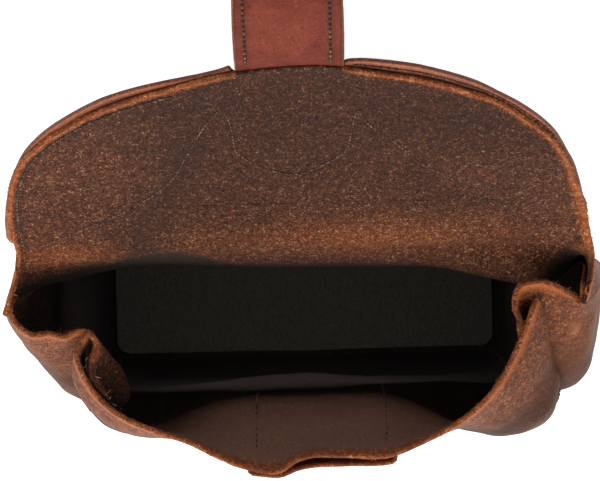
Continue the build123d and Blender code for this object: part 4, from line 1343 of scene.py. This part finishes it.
FACE = STRAP_LAYER + 0.05
left_row, right_row = STRAP_X - STRAP_HALF + 3.4, STRAP_X + STRAP_HALF - 4.2
inner_rows = [strap_row(x, near_q(178), SPINE_LENGTH - 13, -FACE, -1) for x in (left_row, right_row)]
outer_rows = [strap_row(x, near_q(184), SPINE_LENGTH - 13, FACE, 1) for x in (left_row, right_row)]
strap_thread = stitches("strap_stitches", inner_rows + outer_rows, 2.8, 0.4, 0.6, 0.12, 93, 0.66)
base_thread = stitches("strap_base_stitches", [u_row()], 3.2, 0.42, 0.7, seed=94)
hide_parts("strap_stitching")
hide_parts("strap_base_stitching")
for piece in (strap_band, strap_facing, strap_thread, base_thread):
    across_pivot(piece)


# --- Stitching on the walls ----------------------------------------------------------------------
def side_line(grid, right, inset, low, high):
    """Points on a wall's outer face, inset mm from one side edge, between two heights, with normals."""
    points, ups = [], []
    for row, up in zip(grid, grid_normals(grid)):
        if right:
            row, up = row[::-1], up[::-1]
        if low <= row[0, 2] <= high:
            share = inset / lengths(row)[-1]
            both = at_shares(np.concatenate([row, up], 1), [share])[0]
            points.append(both[:3] + both[3:] * HIDE / 2)
            ups.append(both[3:])
    return np.array(points), np.array(ups)


def level_line(grid, height, inset):
    """Points on a wall's outer face at a height, with normals, left out near its side edges."""
    row = int(np.argmin(np.abs(grid[:, grid.shape[1] // 2, 2] - height)))
    line, up = grid[row], grid_normals(grid)[row]
    far = lengths(line)
    keep = (far > inset) & (far < far[-1] - inset)
    return line[keep] + up[keep] * HIDE / 2, up[keep]


back_face = back_grid[:, ::-1]
for name, node, grid, right in (
    ("front_left_stitches", "front_left_stitching", front_grid, False),
    ("front_right_stitches", "front_right_stitching", front_grid, True),
    ("back_left_stitches", "back_left_stitching", back_face, True),
    ("back_right_stitches", "back_right_stitching", back_face, False),
):
    on_bag(stitches(name, [side_line(grid, right, 4.2, 9, 392)], 4.2, 0.48, 0.7, seed=95), "thread", node)

around = [level_line(grid, 8.0, inset) for grid, inset in (
    (front_grid, 7), (back_face, 7), (left_grid, 6), (right_grid, 6))]
on_bag(stitches("base_stitches", around, 4.2, 0.48, 0.7, seed=96), "thread", "base_stitching")


# --- The slip pocket -----------------------------------------------------------------------------
pocket_low, pocket_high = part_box("front_pocket")
POCKET_X = (pocket_low.x / MM, pocket_high.x / MM)
POCKET_TOP = pocket_high.z / MM
POCKET_BOTTOM = pocket_low.z / MM + 2
POCKET_HIDE = 1.7


def front_face_y(x, z):
    """Y of the front wall's outer face at a place on its middle."""
    row = front_grid[int(np.argmin(np.abs(front_grid[:, front_grid.shape[1] // 2, 2] - z)))]
    order = np.argsort(row[:, 0])
    return np.interp(x, row[order, 0], row[order, 1]) - HIDE / 2


def pocket_grid():
    """The pocket's leather: a side, the face and the other side, closed against the wall at the bottom."""
    zs = np.concatenate([[POCKET_BOTTOM - 1.2, POCKET_BOTTOM - 0.4, POCKET_BOTTOM + 1.2],
                         np.linspace(POCKET_BOTTOM + 4, POCKET_TOP, 56)])
    deep = np.concatenate([[1.2, 3.2, 4.6], np.full(56, 5.0)])
    deep -= np.clip((zs - 405) / 28, 0, 1) * 1.2
    x0, x1 = POCKET_X[0] + 0.9, POCKET_X[1] - 0.9
    shape = [(x0, 0.1), (x0, 0.45), (x0 + 0.2, 0.8), (x0 + 1.4, 1.0)]
    shape += [(x, 1.0) for x in np.linspace(x0 + 3.5, x1 - 3.5, 26)]
    shape += [(x1 - 1.4, 1.0), (x1 - 0.2, 0.8), (x1, 0.45), (x1, 0.1)]
    grid = np.array([
        [(x, front_face_y(x, z) - 1.0 - d * out, z) for x, out in shape] for z, d in zip(zs, deep)])
    middle = np.clip(1 - np.abs(grid[..., 0] - (x0 + x1) / 2) / 22, 0, 1)
    grid[..., 1] -= 0.8 * middle * np.clip((grid[..., 2] - POCKET_BOTTOM - 8) / 30, 0, 1)
    return grid


pocket = pocket_grid()
z = pocket[..., 2]
pocket_marks = {
    "rim": np.exp(-(((POCKET_TOP - z) / 1.6) ** 1.2)),
    "rough": np.clip(1.1 - (POCKET_TOP - z) / 20, 0, 1) * 0.6,
}
pocket_piece = sheet("slip_pocket", pocket, POCKET_HIDE, BODY_MATERIALS, pocket_marks, jag=0.12, seed=57)
on_bag(pocket_piece, "hide", "front_pocket")


def pocket_row(x):
    """A stitch row up the pocket's face."""
    column = int(np.argmin(np.abs(pocket[-1, :, 0] - x)))
    line = evenly(pocket[4:-1, column] + (0, -POCKET_HIDE / 2 - 0.05, 0), 1.0)
    return line, np.broadcast_to((0.0, -1.0, 0.0), line.shape)


def pocket_row_inside(x):
    """The same stitch row where it comes through inside the bag."""
    rows = [row for row in front_grid if POCKET_BOTTOM < row[len(row) // 2, 2] < POCKET_TOP - 4]
    line = np.array([row[int(np.argmin(np.abs(row[:, 0] - x)))] for row in rows])
    line[:, 0] = x
    line = evenly(line, 1.0) + (0, HIDE / 2 - 0.1, 0)
    return line, np.broadcast_to((0.0, 1.0, 0.0), line.shape)


pocket_rows = [row(x) for row in (pocket_row, pocket_row_inside) for x in (POCKET_X[0] + 4, POCKET_X[1] - 4)]
on_bag(stitches("pocket_stitches", pocket_rows, 3.6, 0.42, seed=97), "thread", "pocket_stitching")


# --- Base ----------------------------------------------------------------------------------------
def rounded_plate(low, high, radius, z, rows=24, cols=60):
    """A flat grid with rounded corners between two corners in mm."""
    middle = ((low[0] + high[0]) / 2, (low[1] + high[1]) / 2)
    a, b = (high[0] - low[0]) / 2, (high[1] - low[1]) / 2
    v = np.concatenate([-1 + radius / b * (1 - np.cos(np.linspace(0, pi / 2, 7)))[:-1],
                        np.linspace(-1 + radius / b, 1 - radius / b, rows),
                        (1 - radius / b * (1 - np.cos(np.linspace(pi / 2, 0, 7))))[1:]])
    into = np.clip((np.abs(v) * b - (b - radius)) / radius, 0, 1)
    half = a - radius + radius * np.sqrt(np.maximum(1 - into**2, 0))
    u = np.sin(np.linspace(-pi / 2, pi / 2, cols))
    x = middle[0] + half[:, None] * u
    y = np.broadcast_to(middle[1] + (v * b)[:, None], x.shape)
    return np.stack([x, y, np.full_like(x, z)], -1)


def plate_piece(name, node, radius, materials, slot, seed):
    """A flat piece of the bag, standing for its CAD node."""
    low, high = (np.array(v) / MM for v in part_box(node))
    grid = rounded_plate(low[:2] + 0.5, high[:2] - 0.5, radius, (low[2] + high[2]) / 2)
    # Painted shade: the base's suede is darkened all over, as it lies deep in the bag.
    marks = {"deep": np.full(grid.shape[:2], 0.9)}
    on_bag(sheet(name, grid, high[2] - low[2], materials, marks, jag=0.04, seed=seed, swell=0.4), slot, node)


plate_piece("base_leather", "base_panel", 9.0, [SUEDE, GRAIN, BURNISHED], "hide", 58)
plate_piece("base_board", "base_insert", 6.0, [BOARD_MAT, BOARD_MAT, BOARD_MAT], "board", 59)


# --- Metal parts and hanging tabs ----------------------------------------------------------------
def lathe(profile, centre, axis, sides=40):
    """Points and faces of a turned part. profile is (radius, height) pairs from end to end of the axis."""
    axis = np.asarray(axis, float) / np.linalg.norm(axis)
    side = np.cross(axis, (1.0, 0.3, 0.2))
    side /= np.linalg.norm(side)
    other = np.cross(axis, side)
    angle = np.arange(sides) * 2 * pi / sides
    ring = np.cos(angle)[:, None] * side + np.sin(angle)[:, None] * other
    points = [np.asarray(centre) + axis * h + ring * r for r, h in profile]
    ends = [np.asarray(centre) + axis * profile[0][1], np.asarray(centre) + axis * profile[-1][1]]
    return np.concatenate([*points, np.array(ends)]), rolled(len(profile), sides)


def turned(name, parts, node, body):
    """A brass piece of one or more turned parts."""
    points, faces, _ = join(parts)
    piece = make_mesh(name, points, faces, np.zeros(len(faces), int), [BRASS_MAT])
    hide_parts(node)
    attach(piece, body)


# Seen from the side, as (radius, height): the snap's disc and a rivet
SNAP_FACE = listed("0.6,1.2 5.2,1.2 5.6,1 6,1 6.6,1.3 8.3,1.3 8.8,1.1 9,0.8 9,0.2 8.7,0 3,0")
DOME = listed("0.3,1.3 1.3,1.25 2.4,1 3.3,0.6 3.9,0.15 4,0 1.4,0 1.4,-5.4 0.3,-5.4")


def snap_profile(stem):
    """The snap's disc with a stem of some length."""
    return [*SNAP_FACE, (3.0, -stem), (0.6, -stem)]


strap_magnet = frame["nodes"]["strap_magnet"]
corners = np.array([v.co for v in strap_magnet.data.vertices]) / MM
middle = (corners.max(0) + corners.min(0)) / 2
q_all = np.linspace(near_q(190), SPINE_LENGTH, 200)
spots = strap_point(np.full_like(q_all, STRAP_X), q_all, -FACE)
q_snap = q_all[int(np.argmin(np.linalg.norm(spots - middle, axis=1)))]
snap_at = strap_point(STRAP_X, q_snap, -FACE)
snap_way = snap_at - strap_point(STRAP_X, q_snap, FACE)
turned("strap_snap", [lathe(snap_profile(1.6), snap_at, snap_way)], "strap_magnet", "strap")

snap_z = (snap_low[2] + snap_high[2]) / 2
face = front_face_y(STRAP_X, snap_z)
front_part = lathe(snap_profile(HIDE * 0.8), (STRAP_X, face - 0.02, snap_z), (0, -1, 0))
turned("front_snap", [front_part], "front_magnet", "bag")

rivets = []
for side in ("left", "right"):
    low, high = (np.array(v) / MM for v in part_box(f"hanger_tab_{side}"))
    for dx in (-6, 6):
        rivets.append(lathe(DOME, ((low[0] + high[0]) / 2 + dx, low[1] + 4.05, low[2] + 8), (0, 1, 0), 24))
turned("rivets", rivets, "tab_rivets", "bag")


def tab_piece(side, seed):
    """A hanging tab: a strip that runs up the back, round the ring's bar and down again."""
    low, high = (np.array(v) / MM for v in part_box(f"hanger_tab_{side}"))
    bar = JOINT[f"ring_{side}_swing"]
    bottom, near = low[2] + 0.3, low[1] + 1.0
    line = [(near, bottom), (near, bottom + 12), (near, bottom + 24), (near, bar[2] - 4)]
    for degrees in range(180, -41, -20):
        line.append((bar[1] + 3.1 * cos(radians(degrees)), bar[2] + 3.1 * sin(radians(degrees))))
    line += [(bar[1] + 1.2, bar[2] - 4.2), (near + 2.4, bar[2] - 7.5), (near + 2.05, bar[2] - 12),
             (near + 2.0, bottom + 14), (near + 2.0, bottom + 0.6)]
    profile = evenly(dense(np.array(line), 5), 1.3)
    xs = np.linspace(low[0] + 0.5, high[0] - 0.5, 15)
    grid = np.array([[(x, y, z) for x in xs] for y, z in profile])
    u = np.linspace(-1, 1, 15)
    ends = np.clip(1 - np.minimum(np.arange(len(profile)), np.arange(len(profile))[::-1]) / 5, 0, 1)
    grid[..., 2] += ends[:, None] * (u**4)[None, :] * 3.0
    near_edge = np.exp(-(((1 - np.abs(u)) * 10.5 / 1.2) ** 1.5))
    marks = {"rim": np.broadcast_to(near_edge * 0.6, grid.shape[:2])}
    materials = [SMOOTH, SUEDE, BURNISHED]
    piece = sheet(f"tab_{side}", grid, 1.9, materials, marks, jag=0.05, seed=seed, swell=0.42)
    on_bag(piece, "smooth_leather", f"hanger_tab_{side}")


for side, seed in (("left", 64), ("right", 65)):
    tab_piece(side, seed)
    ring = frame["nodes"][f"hanger_ring_{side}"]
    ring.data.materials.clear()
    ring.data.materials.append(BRASS_MAT)


# --- Camera, light and floor, in metres ----------------------------------------------------------
FLOOR = 12
CAMERA_AT = (0.0103, 0.0507, 1.94)
PITCH, ROLL, YAW = -0.0097, -0.0243, -0.006     # the camera's turns from straight down, in radians
SENSOR_MM, LENS_MM = 36, 227.8
KEY_AT, KEY_AIM = (-0.5, -1.7, 1.15), (0, 0, 0.42)
INSIDE_AT, INSIDE_SPREAD = (0, 0, 0.34), 95


def area_lamp(name, place, size, power):
    """A rectangular lamp that shines straight down."""
    lamp = bpy.data.lights.new(name, "AREA")
    lamp.shape, lamp.energy = "RECTANGLE", power
    lamp.size, lamp.size_y = size
    made = bpy.data.objects.new(name, lamp)
    made.location = place
    bpy.context.scene.collection.objects.link(made)
    return made


def studio():
    """The camera looks down into the mouth. Soft light comes from all round, less from straight above."""
    floor = bpy.data.meshes.new("floor")
    corners = [(-FLOOR, -FLOOR, 0), (FLOOR, -FLOOR, 0), (FLOOR, FLOOR, 0), (-FLOOR, FLOOR, 0)]
    floor.from_pydata(corners, [], [(0, 1, 2, 3)])
    n = Nodes("floor_paint")
    grain = n.noise(400, 2)
    n.shader.inputs["Emission Color"].default_value = (1, 1, 1, 1)
    n.shader.inputs["Emission Strength"].default_value = 0.32
    floor.materials.append(n.finish(n.ramp(grain, [(0.3, (0.9, 0.9, 0.9)), (0.7, (0.93, 0.93, 0.93))]), 0.9))
    ground = bpy.data.objects.new("floor", floor)
    bpy.context.scene.collection.objects.link(ground)

    world = bpy.data.worlds.new("studio")
    bpy.context.scene.world = world
    world.use_nodes = True
    tree = world.node_tree
    background = tree.nodes["Background"]
    place = tree.nodes.new("ShaderNodeTexCoord")
    split = tree.nodes.new("ShaderNodeSeparateXYZ")
    ramp = tree.nodes.new("ShaderNodeMapRange")
    tree.links.new(place.outputs["Generated"], split.inputs[0])
    tree.links.new(split.outputs["Z"], ramp.inputs["Value"])
    for key, v in (("From Min", 0.62), ("From Max", 0.86), ("To Min", 1.5), ("To Max", 0.3)):
        ramp.inputs[key].default_value = v
    tree.links.new(ramp.outputs["Result"], background.inputs["Strength"])
    background.inputs["Color"].default_value = (1, 1, 1, 1)

    key = area_lamp("key", KEY_AT, (1.6, 0.9), 34)
    key.rotation_euler = (Vector(KEY_AIM) - key.location).to_track_quat("-Z", "Y").to_euler()
    inside = area_lamp("inside", INSIDE_AT, (0.14, 0.03), 0.036)
    inside.data.spread = radians(INSIDE_SPREAD)
    inside.visible_camera = False

    forward, up = Vector((0, sin(PITCH), -cos(PITCH))), Vector((0, cos(PITCH), sin(PITCH)))
    right = Vector((1, 0, 0))
    forward, right = forward * cos(YAW) + right * sin(YAW), right * cos(YAW) - forward * sin(YAW)
    right, up = right * cos(ROLL) + up * sin(ROLL), up * cos(ROLL) - right * sin(ROLL)
    lens = bpy.data.cameras.new("camera")
    lens.sensor_width, lens.lens = SENSOR_MM, LENS_MM
    lens.clip_start, lens.clip_end = 0.05, 60
    camera = bpy.data.objects.new("camera", lens)
    pose = Matrix((right, up, -forward)).transposed().to_4x4()
    pose.translation = CAMERA_AT
    camera.matrix_world = pose
    bpy.context.scene.collection.objects.link(camera)
    bpy.context.scene.camera = camera
    bpy.context.scene.view_settings.view_transform = "Standard"


studio()
